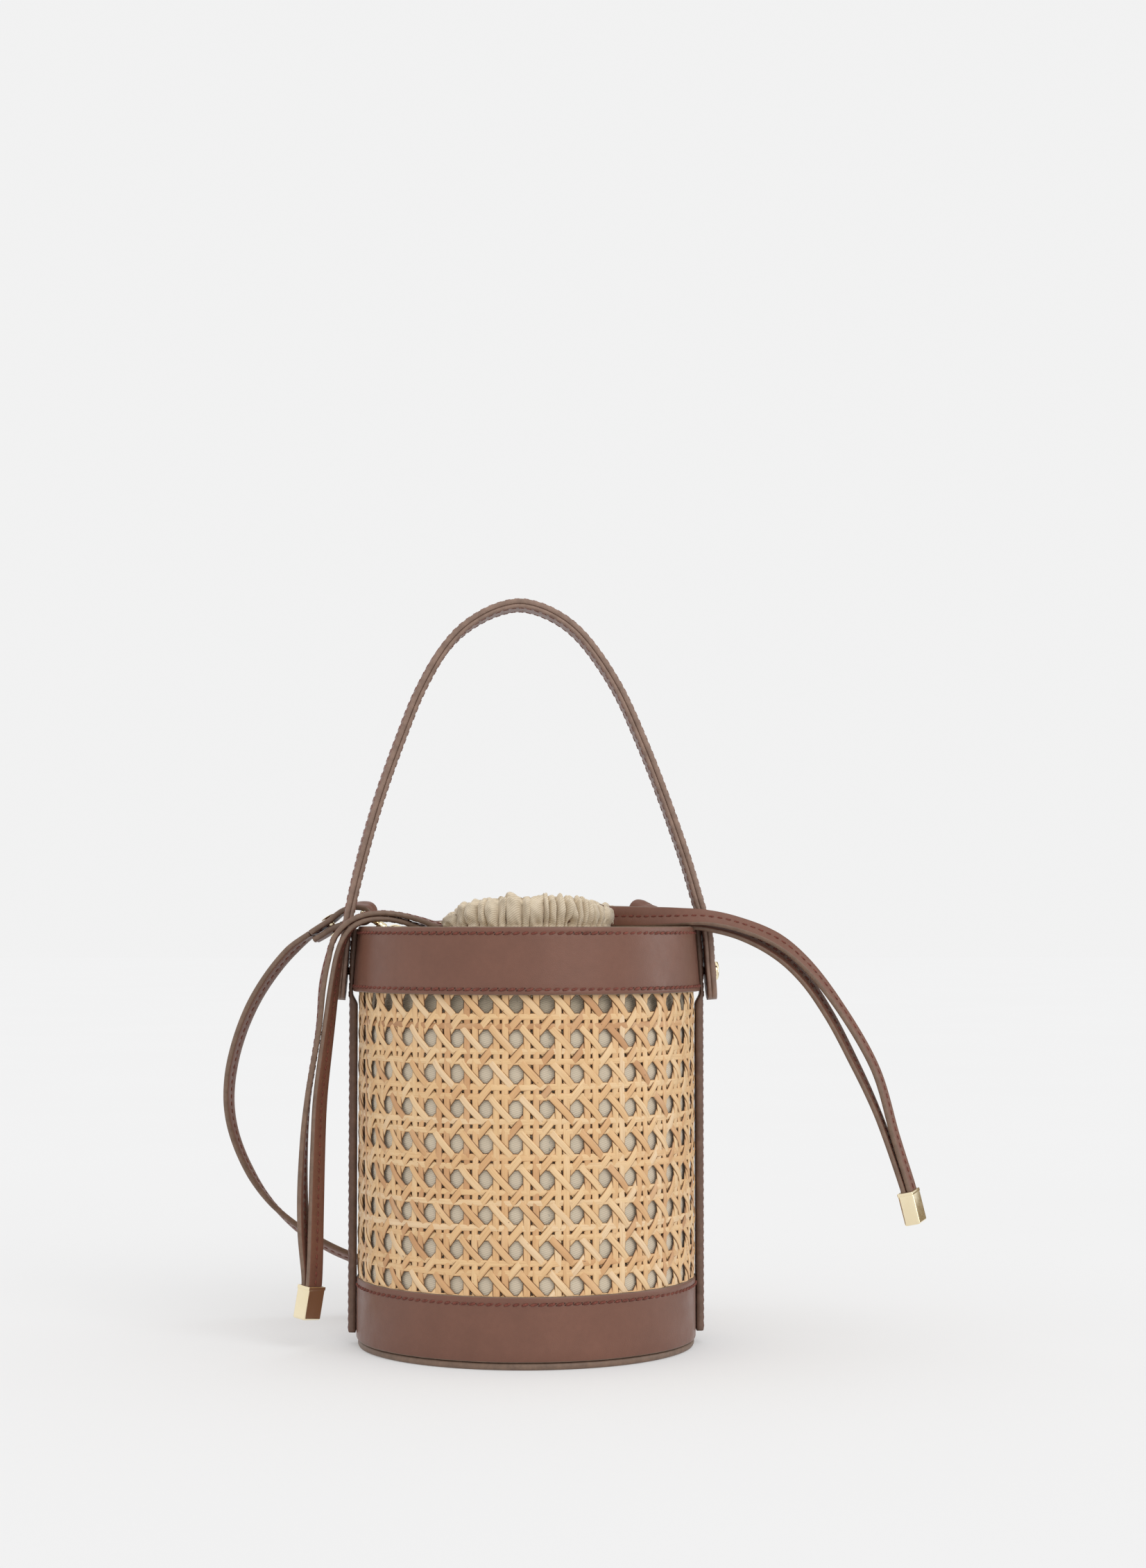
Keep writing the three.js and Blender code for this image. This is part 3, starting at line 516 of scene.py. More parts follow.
def tube(name, points, radius, material, closed=False, sides=12, up=(0, 0, 1)):
    """A round wire along points; radius may be one number or one per point."""
    points = np.asarray(points, float)
    m = len(points)
    radius = np.broadcast_to(np.asarray(radius, float), (m,))[:, None]
    if closed:
        t = unit(np.roll(points, -1, 0) - np.roll(points, 1, 0))
    else:
        t = unit(np.gradient(points, axis=0))
    a = unit(np.cross(t, np.asarray(up, float) + 1e-4))
    b = np.cross(t, a)
    angle = np.arange(sides) * 2 * np.pi / sides
    verts = (
        points[:, None]
        + a[:, None] * (radius * np.cos(angle))[:, :, None]
        + b[:, None] * (radius * np.sin(angle))[:, :, None]
    ).reshape(-1, 3)
    faces = grid_faces(m, sides, True, True) if closed else tube_faces(m, sides)
    return new_object(name, verts, faces, [material])


def lathe(name, outline, materials, low=0.0, high=360.0, steps=256, edge_from=(), wavy=0.0):
    """A ring or part of one from a closed (r, z) outline; segments listed in edge_from get material 1."""
    n = len(outline)
    whole = high - low > 359.9
    angles = np.radians(np.linspace(low, high, steps + (0 if whole else 1), endpoint=not whole))
    m = len(angles)
    verts = np.empty((m, n, 3))
    for k, (r, z) in enumerate(outline):
        bend = [noise.noise(Vector((math.cos(a) * 3.1, math.sin(a) * 3.1, z / 26.0 + 5.0))) for a in angles]
        radius = r + wavy * np.array(bend)
        verts[:, k] = columns_of(radius * np.cos(angles), radius * np.sin(angles), z)
    indices = [int(k in edge_from) for k in range(n)] * (m if whole else m - 1)
    if whole:
        faces = grid_faces(m, n, True, True)
    else:
        faces = tube_faces(m, n)
        indices += [0, 0]
    made = new_object(name, verts.reshape(-1, 3), faces, materials, indices)
    made.data.validate()
    return made


def ring_stitches(radius, z, low, high, slope=0.0, pitch=STITCH_PITCH, lift=0.0):
    """Stitch places round the bag at one height; slope is how fast the wall's radius grows downwards."""
    count = int(math.radians(high - low) * radius / pitch)
    x, y = circle_points(low + (np.arange(count) + 0.5) * (high - low) / count)
    normal = unit(columns_of(x, y, slope))
    along = columns_of(-y, x, 0.0)
    points = columns_of(radius * x, radius * y, z)
    return points + normal * lift, along, np.cross(normal, along), normal


# ---- shoulder strap: one cord, wound behind the bag
STRAP_WIDTH, STRAP_THICK = 10.0, 2.4
COIL_CENTRE = (0.0, 128.0)
COIL_LEVEL = 5.6
# each row is a point, then the direction of the strap's width there
STRAP_LEFT = [
    (-90.9, 19.3, 169.5, 0.2, 1, 0), (-99, 21, 162.9, 0.18, 1, -0.28), (-108, 25, 152.6, 0.22, 1, -0.24),
    (-116.4, 30, 139.5, 0.24, 1, -0.19), (-122.6, 35, 125.0, 0.24, 1, -0.13),
    (-126.6, 40, 109.5, 0.24, 1, -0.08), (-127.6, 45, 95.0, 0.2, 1, -0.01),
    (-125.4, 50, 81.2, 0.14, 1, 0.04), (-119.2, 55, 65.6, 0.09, 1, 0.06), (-110.5, 61, 51.8, -0.08, 1, 0),
    (-98, 67, 39.4, -0.26, 1, -0.22), (-84, 73, 30.0, -0.28, 1, -0.33), (-68, 79, 22.6, -0.2, 1, -0.42),
    (-50, 82.6, 15.2, 0, 1, -0.9), (-34, 83.8, 9.0, 0, 0.5, -1), (-20, 83.9, 6.2, 0, 0.1, -1),
    (-8, 83.9, 5.7, 0, 0, -1),
]
STRAP_RIGHT = [
    (69.2, 62.3, 169.5, -0.67, 0.74, 0), (71.4, 64.3, 167.4, -0.67, 0.74, 0),
    (73.0, 67.0, 162.4, -0.68, 0.73, 0), (72.0, 70.2, 151.0, -0.7, 0.72, 0),
    (67.0, 74.6, 132.0, -0.8, 0.6, 0), (62.0, 79.0, 108.0, -0.9, 0.4, 0), (57.0, 82.0, 84.0, -0.9, 0.5, 0),
    (53.0, 84.6, 60.0, -0.7, 0.8, 0), (49.0, 86.6, 40.0, -0.3, 1, 0), (42.0, 87.8, 25.5, 0, 1, 0),
    (31.0, 88.2, 17.4, 0, 1, 0.1), (20.0, 88.2, 14.6, 0, 1, 0.2),
]


def coil_rows():
    """From the right run over the coil's near side, down inside it, then outwards turn by turn."""
    cx, cy = COIL_CENTRE
    rows = [
        (8.0, 91.6, 13.9, 0, 1, 0.3), (-3.0, 96.6, 13.4, 0.3, 1, 0.35), (-13.0, 103.0, 10.6, 0.3, 0.6, 0.8),
        (-21.0, 110.4, 6.6, 0.2, 0.3, 1),
    ]
    # turns, azimuth of the first point, radii of the first and last, rows in a turn
    turns, first, inner, outer, rows_a_turn = 2.828, 208.0, 29.4, 44.0, 22
    count = int(turns * rows_a_turn)
    for k in range(count + 1):
        share = k / count
        x, y = circle_points(first - share * turns * 360.0, inner + (outer - inner) * share)
        rows.append((cx + x, cy + y, COIL_LEVEL, 0, 0, 1))
    return rows


def level_signs(rows):
    """Keep each width direction on the same side as the one before it."""
    rows = [list(row) for row in rows]
    for before, row in zip(rows, rows[1:]):
        if np.dot(before[3:], row[3:]) < 0:
            row[3:] = [-v for v in row[3:]]
    return rows


strap_route = Route(level_signs(STRAP_RIGHT + coil_rows() + STRAP_LEFT[::-1]), step=1.1, dense=4000)
shoulder_strap = part(
    flat_strap("shoulder_strap", strap_route, STRAP_WIDTH, STRAP_THICK),
    "bag", "strap_leather", "shoulder_strap_left", "shoulder_strap_right", "shoulder_strap_coil",
)
strap_stitches = sewn(
    "bag", "strap_leather", "shoulder_strap_stitches", both_faces(strap_route, STRAP_THICK),
    length=2.6, radius=0.36, lift=0.02, holes=False, slant=5.0,
)

# ---- drawstring tails
TAIL_WIDTH, TAIL_THICK = 8.5, 2.2
# from the collar to the cap: each row is a point, then the direction of the strap's width there
TAILS = {
    "right_front": [
        (29.3, -1.4, 177.0, 0, 0, 1), (38, -1.8, 176.9, 0, 0.05, 1), (50, -8, 176.6, 0, 0.3, 1),
        (62, -15, 176.5, 0.05, 0.7, 1), (74, -18.0, 176.2, 0.15, 1, 0.85),
        (86, -18.6, 173.8, 0.25, 1, 0.72), (102.6, -18.4, 167.2, 0.38, 1, 0.66),
        (114.5, -18, 157.6, 0.42, 1, 0.42), (128.6, -17, 140.0, 0.36, 1, 0.25),
        (143.9, -16, 113.6, 0.38, 1, 0.14), (152.2, -15, 85.4, 0.44, 1, 0.08),
        (158.6, -14.4, 64.6, 0.5, 1, 0.04), (159.4, -14.5, 60.8, 0.5, 1, 0.04),
    ],
    "right_back": [
        (29.3, 1.8, 177.0, 0, 0, 1), (38, 1.4, 176.6, 0, 0.05, 1), (50, -4.2, 175.8, 0, 0.3, 1),
        (62, -10.8, 175.6, 0.05, 0.6, 1), (74, -13.6, 173.6, 0.15, 1, 0.7), (88, -14.8, 169.8, 0.3, 1, 0.6),
        (103.4, -15.4, 161.8, 0.4, 1, 0.6), (114.4, -15.4, 151.4, 0.42, 1, 0.42),
        (124.2, -15.2, 137.2, 0.4, 1, 0.32), (134.6, -14.8, 117.6, 0.36, 1, 0.26),
        (144.8, -14.4, 95.6, 0.3, 1, 0.14), (156.0, -13.6, 64.4, 0.4, 1, 0.04),
        (157.2, -13.4, 60.6, 0.5, 1, 0.04),
    ],
    "left_front": [
        (-28.6, -5.4, 172.9, 0, 0.35, 1), (-33, -6.0, 172.5, 0, 1, 0.6), (-38, -7.2, 173.2, 0, 1, 0.15),
        (-44, -9.8, 175.2, 0, 1, 0.05), (-51.5, -13.0, 177.1, 0, 1, 0), (-59, -14.8, 178.0, 0, 1, 0),
        (-66.6, -15.2, 177.4, 0, 1, 0), (-73.6, -15.2, 174.3, 0, 1, 0), (-79.2, -15.2, 168.2, 0, 1, 0),
        (-81.9, -15.2, 159.6, -0.15, 1, 0), (-84.1, -15.2, 148.6, -0.2, 1, 0),
        (-85.6, -15.0, 131, -0.1, 1, 0), (-90.2, -14.8, 100.5, 0.02, 1, 0), (-91.8, -14.4, 75.5, 0.2, 1, 0),
        (-91.6, -13.8, 50.5, 0.4, 1, 0), (-88.9, -13.2, 26.9, 0.85, 1, 0), (-89.4, -13.3, 22.4, 0.85, 1, 0),
    ],
    "left_back": [
        (-28.6, 4.4, 172.4, 0, 0.3, 1), (-33, 3.0, 171.2, 0, 1, 0.6), (-38.5, -1.5, 170.9, 0, 1, 0.2),
        (-45, -7.0, 172.5, 0, 1, 0.08), (-52, -11.8, 174.7, 0, 1, 0.03), (-59, -14.4, 175.7, 0, 1, 0),
        (-65.6, -15.0, 175.2, 0, 1, 0), (-71.2, -15.0, 172.8, 0.04, 1, 0),
        (-74.8, -15.0, 168.4, 0.12, 1, 0), (-77.2, -15.0, 162.0, 0.22, 1, 0),
        (-79.3, -15.0, 150, 0.32, 1, 0), (-81.6, -15.2, 131, 0.45, 1, 0), (-85.0, -15.4, 100.5, 0.62, 1, 0),
        (-85.9, -15.4, 75.5, 0.68, 1, 0), (-86.4, -15.2, 50.5, 0.75, 1, 0),
        (-87.1, -14.8, 26.9, 0.85, 1, 0), (-87.6, -14.7, 22.4, 0.85, 1, 0),
    ],
}


def bevelled(name, low, high, bevel, material, segments):
    """A block with rounded edges, between two corners."""
    mesh = bpy.data.meshes.new(name)
    shape = bmesh.new()
    bmesh.ops.create_cube(shape, size=1.0)
    size = [h - l for l, h in zip(low, high)]
    for v in shape.verts:
        for k in range(3):
            v.co[k] = (low[k] + (v.co[k] + 0.5) * size[k]) * MM
    bmesh.ops.bevel(
        shape, geom=list(shape.edges), offset=bevel * MM, segments=segments, profile=0.6, affect="EDGES",
    )
    shape.to_mesh(mesh)
    shape.free()
    mesh.materials.append(material)
    mesh.polygons.foreach_set("use_smooth", np.ones(len(mesh.polygons), bool))
    return linked(name, mesh)


def join(name, objects):
    """Several objects as one mesh, keeping their materials."""
    verts, faces, indices, materials = [], [], [], []
    base = 0
    for o in objects:
        mesh = o.data
        co = np.empty(len(mesh.vertices) * 3)
        mesh.vertices.foreach_get("co", co)
        verts.append(co.reshape(-1, 3) / MM)
        materials += [material for material in mesh.materials if material not in materials]
        slots = [materials.index(material) for material in mesh.materials]
        faces += [tuple(base + v for v in polygon.vertices) for polygon in mesh.polygons]
        indices += [slots[polygon.material_index] for polygon in mesh.polygons]
        base += len(mesh.vertices)
    for o in objects:
        bpy.data.objects.remove(o)
    return new_object(name, np.vstack(verts), faces, materials, indices)


CAP_HALF_WIDTH, CAP_HALF_DEPTH, CAP_LENGTH = 4.9, 3.3, 13.6


def end_cap(side, top, bottom, turn):
    """A metal cap over both strap ends: a block with rounded edges and a rolled mouth, with a dark block in
    the mouth as painted shade of the hollow inside.
    """
    def layer(name, low, high, grow, bevel, material, segments):
        x, y = CAP_HALF_WIDTH + grow, CAP_HALF_DEPTH + grow
        return bevelled(name, (-x, -y, low), (x, y, high), bevel, material, segments)

    made = join(f"end_cap_{side}_piece", [
        layer("block", -CAP_LENGTH, -0.9, 0.0, 0.9, GOLD, 4),
        layer("mouth", -1.5, 0.0, 0.05, 0.3, GOLD, 3),
        # painted shade: a dark block of edge-paint colour fills the mouth, standing in for the shaded hollow
        # round the strap ends
        layer("inside", -1.4, 0.06, -0.5, 0.2, DARK_EDGE, 2),
    ])
    up = Vector(top) - Vector(bottom)
    upright = Vector((0, 0, 1)).rotation_difference(up).to_matrix().to_4x4()
    spin = Matrix.Rotation(math.radians(turn), 4, "Z")
    made.data.transform(Matrix.Translation(Vector(top) * MM) @ upright @ spin)
    return part(made, f"drawstring_{side}", "gold_metal", f"end_cap_{side}")


caps = {
    "left": end_cap("left", (-88.0, -14.0, 25.8), (-89.9, -14.0, 13.7), 50),
    "right": end_cap("right", (157.4, -14.0, 63.5), (160.6, -14.0, 50.4), 62),
}
for tail, rows in TAILS.items():
    side = tail.split("_")[0]
    body = f"drawstring_{side}"
    route = Route(rows)
    leather = part(
        flat_strap(f"drawstring_{tail}", route, TAIL_WIDTH, TAIL_THICK),
        body, "strap_leather", f"drawstring_tail_{tail}",
    )
    sewn(body, "strap_leather", f"drawstring_{tail}_stitches", both_faces(route, TAIL_THICK),
         length=2.8, radius=0.44, lift=0.06, slant=8.0, holes=False)


# ---- strap ends, clasps and rings at the rim
FOLD_LINE = [
    (91.0, 166.9), (87.2, 169.0), (83.2, 171.6), (78.0, 173.6), (73.0, 174.75), (69.7, 174.8),
    (68.1, 175.23), (66.93, 176.4), (66.5, 178.0), (66.93, 179.6), (68.1, 180.77),
    (69.7, 181.2), (73.6, 181.2), (78.6, 179.3), (84.4, 174.9), (88.6, 172.3), (92.4, 169.9),
]
# how far each strap end leans about its own line, in degrees, and the share of it at each point
LEAN = {"left": -13.0, "right": 30.0}
LEAN_SHARE = [0, 0, 0, 0.2, 0.6, 0.9, 1, 1, 1, 1, 1, 1, 0.75, 0.3, 0, 0, 0]


def corner_part(made, azimuth, body, slot, *replaced):
    """A piece drawn on the +X axis, turned to its corner of the rim."""
    made.data.transform(Matrix.Rotation(math.radians(azimuth), 4, "Z"))
    return part(made, body, slot, *replaced)


def on_line(points, origin, angle):
    """Points drawn along +X in the (x, y, z) of a clasp, swung onto its line from the eye to the ring."""
    points = np.asarray(points, float)
    c, s = math.cos(angle), math.sin(angle)
    x = origin[0] + points[:, 0] * c - points[:, 2] * s
    z = origin[1] + points[:, 0] * s + points[:, 2] * c
    return np.stack([x, points[:, 1], z], 1)


ring_direction = unit(np.array([-0.7, 0.72]))
RING_REACH, RING_HALF = 9.4, 6.4
ring_wire = np.array(RING_BAR) + ring_direction * RING_REACH
clasp_line = ring_wire - np.array(EYE)
clasp_length = float(np.linalg.norm(clasp_line))
clasp_angle = math.atan2(clasp_line[1], clasp_line[0])


def swivel_loop(tip):
    """A rectangle of wire with rounded corners, tipped about its long axis."""
    length, half, corner, steps = 5.9, 6.5, 1.6, 6
    points = []
    for cx, cy, start in ((length - corner, half - corner, 0), (corner, half - corner, 90),
                          (corner, corner - half, 180), (length - corner, corner - half, 270)):
        x, y = circle_points(start + 90 * np.arange(steps + 1) / steps, corner)
        points.append(columns_of(cx + x, (cy + y) * math.cos(tip), (cy + y) * math.sin(tip)))
    return np.vstack(points)


def on_clasp(points):
    """Points of a clasp, on its line from the strap's eye to the ring."""
    return on_line(points, EYE, clasp_angle)


def clasp_arc(start, end, count):
    """Part of the hook's bow round the ring's wire."""
    x, z = circle_points(np.linspace(start, end, count), BOW_R)
    return on_clasp(columns_of(clasp_length + x, 0.0, z))


def d_ring_line():
    """A straight bar and a half circle, on the ring's own axes."""
    x, y = circle_points(np.linspace(-90, 90, 25), RING_HALF)
    bar = [(0.0, y, 0.0) for y in np.linspace(RING_HALF, -RING_HALF, 9)]
    return np.vstack([bar[-1:], columns_of(RING_REACH - RING_HALF + x, y, 0.0), bar[:-1]])


RING_WIRE, BOW_R = 1.0, 4.05
TAB_WIDTH, TAB_THICK, TAB_SEAM = 10.0, 1.15, 3.4
KNOB_ANGLE = 1.35
BARREL_X = (7.1, 7.3, 7.7, 8.4, 9.4, 10.0, 10.5, 11.2, 12.0)
BARREL_R = (1.2, 1.75, 1.95, 1.85, 1.85, 1.95, 1.8, 1.35, 1.2)
RIVET_AT, RIVET_TILT = (84.0, 173.2), math.radians(57)
RIVET_REACH = (-4.6, -4.4, -3.7, -3.6, -3.59, 3.59, 3.6, 3.7, 3.85, 3.9)
RIVET_R = (1.7, 2.5, 2.9, 2.85, 1.3, 1.3, 2.85, 2.9, 2.5, 1.7)
TAB_RISE = [(65.15, 148.5), (65.15, 152), (65.15, 156), (65.1, 160)]
TAB_FALL = [(61.4, 159), (63.3, 156.5), (63.75, 153), (63.75, 149.5)]
tab_over = list(zip(*circle_points([0, 45, 90, 135, 180], 2.05)))
tab_line = TAB_RISE + [(RING_BAR[0] + x, RING_BAR[1] + z) for x, z in tab_over] + TAB_FALL
across_y = (0, 1, 0)
for side, azimuth in CORNERS.items():
    ring_line = on_line(d_ring_line(), RING_BAR, math.atan2(ring_direction[1], ring_direction[0]))
    ring = tube(f"d_ring_{side}_piece", ring_line, RING_WIRE, GOLD, closed=True, up=(0.7, 0, 0.7))
    corner_part(ring, azimuth, f"ring_{side}", "gold_metal", f"d_ring_{side}")

    tab_route = Route([(x, 0, z, *across_y) for x, z in tab_line], step=0.5)
    tab = flat_strap(f"d_ring_tab_{side}_leather", tab_route, TAB_WIDTH, TAB_THICK, TRIM_LEATHER, wobble=0.0)
    corner_part(tab, azimuth, "bag", "trim_leather", f"d_ring_tab_{side}")
    tab_stitch = stitch_mesh(f"d_ring_tab_{side}_stitches", [
        stitches_on(tab_route, offset, -1, start=tab_route.length - 9.5, end=1.0, height=0.5)
        for offset in (-TAB_SEAM, TAB_SEAM)
    ], length=2.2, radius=0.3)
    corner_part(tab_stitch, azimuth, "bag", "trim_leather")

    loop = on_clasp(swivel_loop(math.radians(LEAN[side] * 0.3)))
    stem = on_clasp([(x, 0, 0) for x in (5.4, 6.6, 7.4, 8.6, 9.4)])
    swivel = join(f"clasp_swivel_{side}_piece", [
        tube("loop", loop, 0.98, GOLD, closed=True),
        tube("stem", stem, [1.3, 1.2, 0.95, 0.95, 0.9], GOLD, up=across_y),
    ])
    corner_part(swivel, azimuth, "bag", "gold_metal", f"clasp_swivel_{side}")

    barrel = on_clasp([(x, 0, 0) for x in BARREL_X])
    taper = np.interp(np.linspace(0, 1, 24), [0, 0.5, 1], [1.15, 1.05, 0.72])
    hook = join(f"clasp_hook_{side}_piece", [
        tube("barrel", barrel, BARREL_R, GOLD, up=across_y, sides=16),
        tube("bow", clasp_arc(180, 372, 24), taper, GOLD, up=across_y),
        tube("back", clasp_arc(180, 104, 8), np.linspace(1.15, 0.95, 8), GOLD, up=across_y),
    ])
    corner_part(hook, azimuth, f"hook_{side}", "gold_metal", f"clasp_hook_{side}")

    knob = on_clasp([
        (clasp_length + r * math.cos(KNOB_ANGLE), 0, r * math.sin(KNOB_ANGLE)) for r in (4.3, 5.0, 5.6, 5.9)
    ])
    gate = join(f"clasp_gate_{side}_piece", [
        tube("gate", clasp_arc(88, 38, 10), np.linspace(0.75, 0.6, 10), GOLD, up=across_y),
        tube("knob", knob, [0.45, 0.5, 0.75, 0.5], GOLD, up=across_y),
    ])
    corner_part(gate, azimuth, f"gate_{side}", "gold_metal", f"clasp_gate_{side}")

    leans = [math.radians(LEAN[side] * share) for share in LEAN_SHARE]
    fold_rows = [(x, 0, z, 0, math.cos(a), math.sin(a)) for (x, z), a in zip(FOLD_LINE, leans)]
    fold_route = Route(fold_rows, step=0.6)
    fold = flat_strap(f"strap_end_{side}_leather", fold_route, STRAP_WIDTH, STRAP_THICK, wobble=0.0)
    corner_part(fold, azimuth, "bag", "strap_leather", f"strap_end_{side}")
    fold_stitch = stitch_mesh(f"strap_end_{side}_stitches", [
        stitches_on(fold_route, 0.0, -1, start, end, STRAP_THICK * 0.4)
        for start, end in ((fold_route.length - 10.0, 0.5), (3.0, fold_route.length - 20))
    ], slant=5.0, holes=False)
    corner_part(fold_stitch, azimuth, "bag", "strap_leather")

    rivet_line = [(RIVET_AT[0] + h * math.cos(RIVET_TILT), 0, RIVET_AT[1] + h * math.sin(RIVET_TILT))
                  for h in RIVET_REACH]
    rivet = tube(f"strap_rivet_{side}_piece", rivet_line, RIVET_R, GOLD, sides=24, up=across_y)
    corner_part(rivet, azimuth, "bag", "gold_metal", f"strap_rivet_{side}")

TIE_ANGLE = math.radians(64.0)
TIE_LOOP = [
    (28.6, 0.75), (37.0, 0.62), (45.2, 0.75), (45.4, 5.6), (45.2, 10.7), (37.0, 10.95), (28.6, 10.7),
    (28.4, 5.6),
]
tie_x, tie_y = math.cos(TIE_ANGLE), math.sin(TIE_ANGLE)
tie_rows = [(r * tie_x, COIL_CENTRE[1] + r * tie_y, z, -tie_y, tie_x, 0) for r, z in TIE_LOOP + TIE_LOOP[:1]]
strap_tie = flat_strap("strap_tie", Route(tie_rows, step=0.8), 6.0, 0.5, TRIM_LEATHER, wobble=0.0)
part(strap_tie, "bag", "strap_leather")


# ---- leather bands, strips, sole and facing
def band_outline(bottom, top, outer, thick, flare=0.0, seams=()):
    """A band's section: painted, rounded edges and a shallow pressed line under each row of stitches."""
    span = top - bottom
    heights = [0.0, 0.35, 0.9]
    for seam in seams:
        heights += [seam - 1.0, seam - 0.45, seam, seam + 0.45, seam + 1.0]
    heights += list(np.linspace(5, span - 5, 6)) + [span - 0.9, span - 0.35, span]
    heights = sorted(set(round(h, 3) for h in heights if 0 <= h <= span))
    outline = []
    for h in heights:
        r = outer + flare * (1 - h / span)
        near = min(h, span - h)
        r -= 0.45 * max(0.0, 1 - near / 0.9) ** 2
        for seam in seams:
            r -= 0.16 * math.exp(-((h - seam) / 0.42) ** 2)
        outline.append((r, bottom + h))
    inner = outer - thick
    outline += [(inner + 0.35, top), (inner, top - 0.5)]
    return outline + [(inner + flare, bottom + 0.5), (inner + flare + 0.35, bottom)]


SEAM_GAP = 0.35
SEAM_INSET = 4.4
STRIP_INNER_R = 70.7
upper_outline = band_outline(UPPER_BAND_BOTTOM, RIM_Z, WALL_R, LEATHER, FLARE_R - WALL_R, seams=(2.2, 24.2))
lower_outline = band_outline(LOWER_BAND_BOTTOM, LOWER_BAND_TOP, WALL_R, LEATHER, seams=(22.4,))


def edge_segments(outline, low, high):
    """Segments within a hair of the band's ends, where the painted edge shows."""
    middles = [(outline[k - 1][1] + outline[k][1]) / 2 for k in range(1, len(outline))]
    middles.append((outline[-1][1] + outline[0][1]) / 2)
    return {k for k, z in enumerate(middles) if z < low + 0.3 or z > high - 0.3}


def band_radius(z):
    """The upper band's outside, wider towards its lower edge."""
    return WALL_R + (FLARE_R - WALL_R) * (RIM_Z - z) / (RIM_Z - UPPER_BAND_BOTTOM)


BANDS = (
    # name, outline, bottom, top, waviness, then height, radius and slope of each row of stitches
    ("upper", upper_outline, UPPER_BAND_BOTTOM, RIM_Z, 0.35,
     [(z, band_radius(z), 0.08) for z in (RIM_Z - 2.6, UPPER_BAND_BOTTOM + 2.2)]),
    ("lower", lower_outline, LOWER_BAND_BOTTOM, LOWER_BAND_TOP, 0.25, [(25.5, WALL_R, 0.0)]),
)
for word, low, high in (("front", 180.0, 360.0), ("back", 0.0, 180.0)):
    for band, outline, bottom, top, wavy, seams in BANDS:
        leather = lathe(f"{band}_band_{word}_leather", outline, [BODY_LEATHER, EDGE_PAINT],
                        low + SEAM_GAP, high - SEAM_GAP, 250, edge_segments(outline, bottom, top), wavy)
        part(leather, "bag", "body_leather", f"{band}_band_{word}")
        start, end = low + SEAM_INSET, high - SEAM_INSET
        rows = [ring_stitches(r, z, start, end, slope, lift=-0.1) for z, r, slope in seams]
        sewn("bag", "body_leather", f"{band}_band_{word}_stitches", rows)

sole_outline = [
    (0.001, 0.0), (40, 0.0), (68.4, 0.0), (69.2, 0.25), (69.55, 0.9), (69.6, 1.5), (69.5, 2.2), (69.1, 2.75),
    (68.6, 2.8), (40, 2.8), (0.001, 2.8),
]
part(lathe("base_sole_leather", sole_outline, [SOLE_LEATHER, EDGE_PAINT], edge_from={2, 3, 4, 5, 6, 7}),
     "bag", "sole_leather", "base_sole")

facing_outline = [
    (66.2, 146.0), (67.3, 146.0), (67.3, 162.0), (68.6, 162.6), (68.75, 171.6), (68.3, 172.1),
    (66.6, 172.1), (66.2, 171.6), (66.2, 160.0),
]
part(lathe("rim_facing_leather", facing_outline, [TRIM_LEATHER, EDGE_PAINT], edge_from={4, 5, 6}),
     "bag", "trim_leather", "rim_facing")


def filled(inner_r, z):
    """Extra thickness of a side strip behind the handle's foot, up to just inside the handle's face."""
    face = np.minimum(73.95, 74.4 - 0.0815 * (z - STUD_Z))
    return np.clip((face - inner_r - 1.5) / 1.36, 0, 2)


STRIP_SECTION = [
    (-5.0, 0.0), (-5.0, 0.7), (-4.7, 1.1), (-4.1, 1.25), (-3.6, 1.1), (-3.1, 1.25), (-1.5, 1.36), (0.0, 1.3),
    (1.5, 1.36), (3.1, 1.25), (3.6, 1.1), (4.1, 1.25), (4.7, 1.1), (5.0, 0.7), (5.0, 0.0),
]
STRIP_EDGES = (0, 1, 12, 13)
STRIP_SEAM = 3.6


def side_strip(word, side):
    """A leather strip over a side seam, stitched along both edges, riding over the flared band."""
    heights = np.arange(5.3, RIM_Z - 0.2, STITCH_PITCH / 4)
    share = np.clip((heights - (UPPER_BAND_BOTTOM - 6)) / 5.5, 0, 1)
    inner = STRIP_INNER_R + (band_radius(heights) + 0.15 - STRIP_INNER_R) * share ** 2 * (3 - 2 * share)
    verts = []
    for r0, z in zip(inner, heights):
        swell = 1.0 + 0.10 * math.cos(2 * math.pi * z / STITCH_PITCH) + filled(r0, z)
        for y, h in STRIP_SECTION:
            verts.append((side * math.sqrt((r0 + h * swell) ** 2 - y * y), side * y, z))
    n = len(STRIP_SECTION)
    indices = [int(k in STRIP_EDGES) for k in range(n)] * (len(heights) - 1) + [1, 1]
    faces = tube_faces(len(heights), n)
    made = new_object(f"side_strip_{word}_leather", verts, faces, [TRIM_LEATHER, DARK_EDGE], indices)
    part(made, "bag", "trim_leather", f"side_strip_{word}")
    steps = np.arange(8.0, RIM_Z - 3, STITCH_PITCH)
    r_in = np.interp(steps, heights, inner)
    r_out = r_in + 1.1 * (1.0 + filled(r_in, steps))
    x = side * np.sqrt(r_out ** 2 - STRIP_SEAM ** 2)
    rows = [upright_stitches(x, side * y, steps) for y in (-STRIP_SEAM, STRIP_SEAM)]
    sewn("bag", "trim_leather", f"side_strip_{word}_stitches", rows,
         thread=DARK_THREAD, radius=0.42, lift=0.1, holes=False)


side_strip("left", -1)
side_strip("right", 1)
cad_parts["base_board"].data.materials.clear()
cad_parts["base_board"].data.materials.append(BOARD)

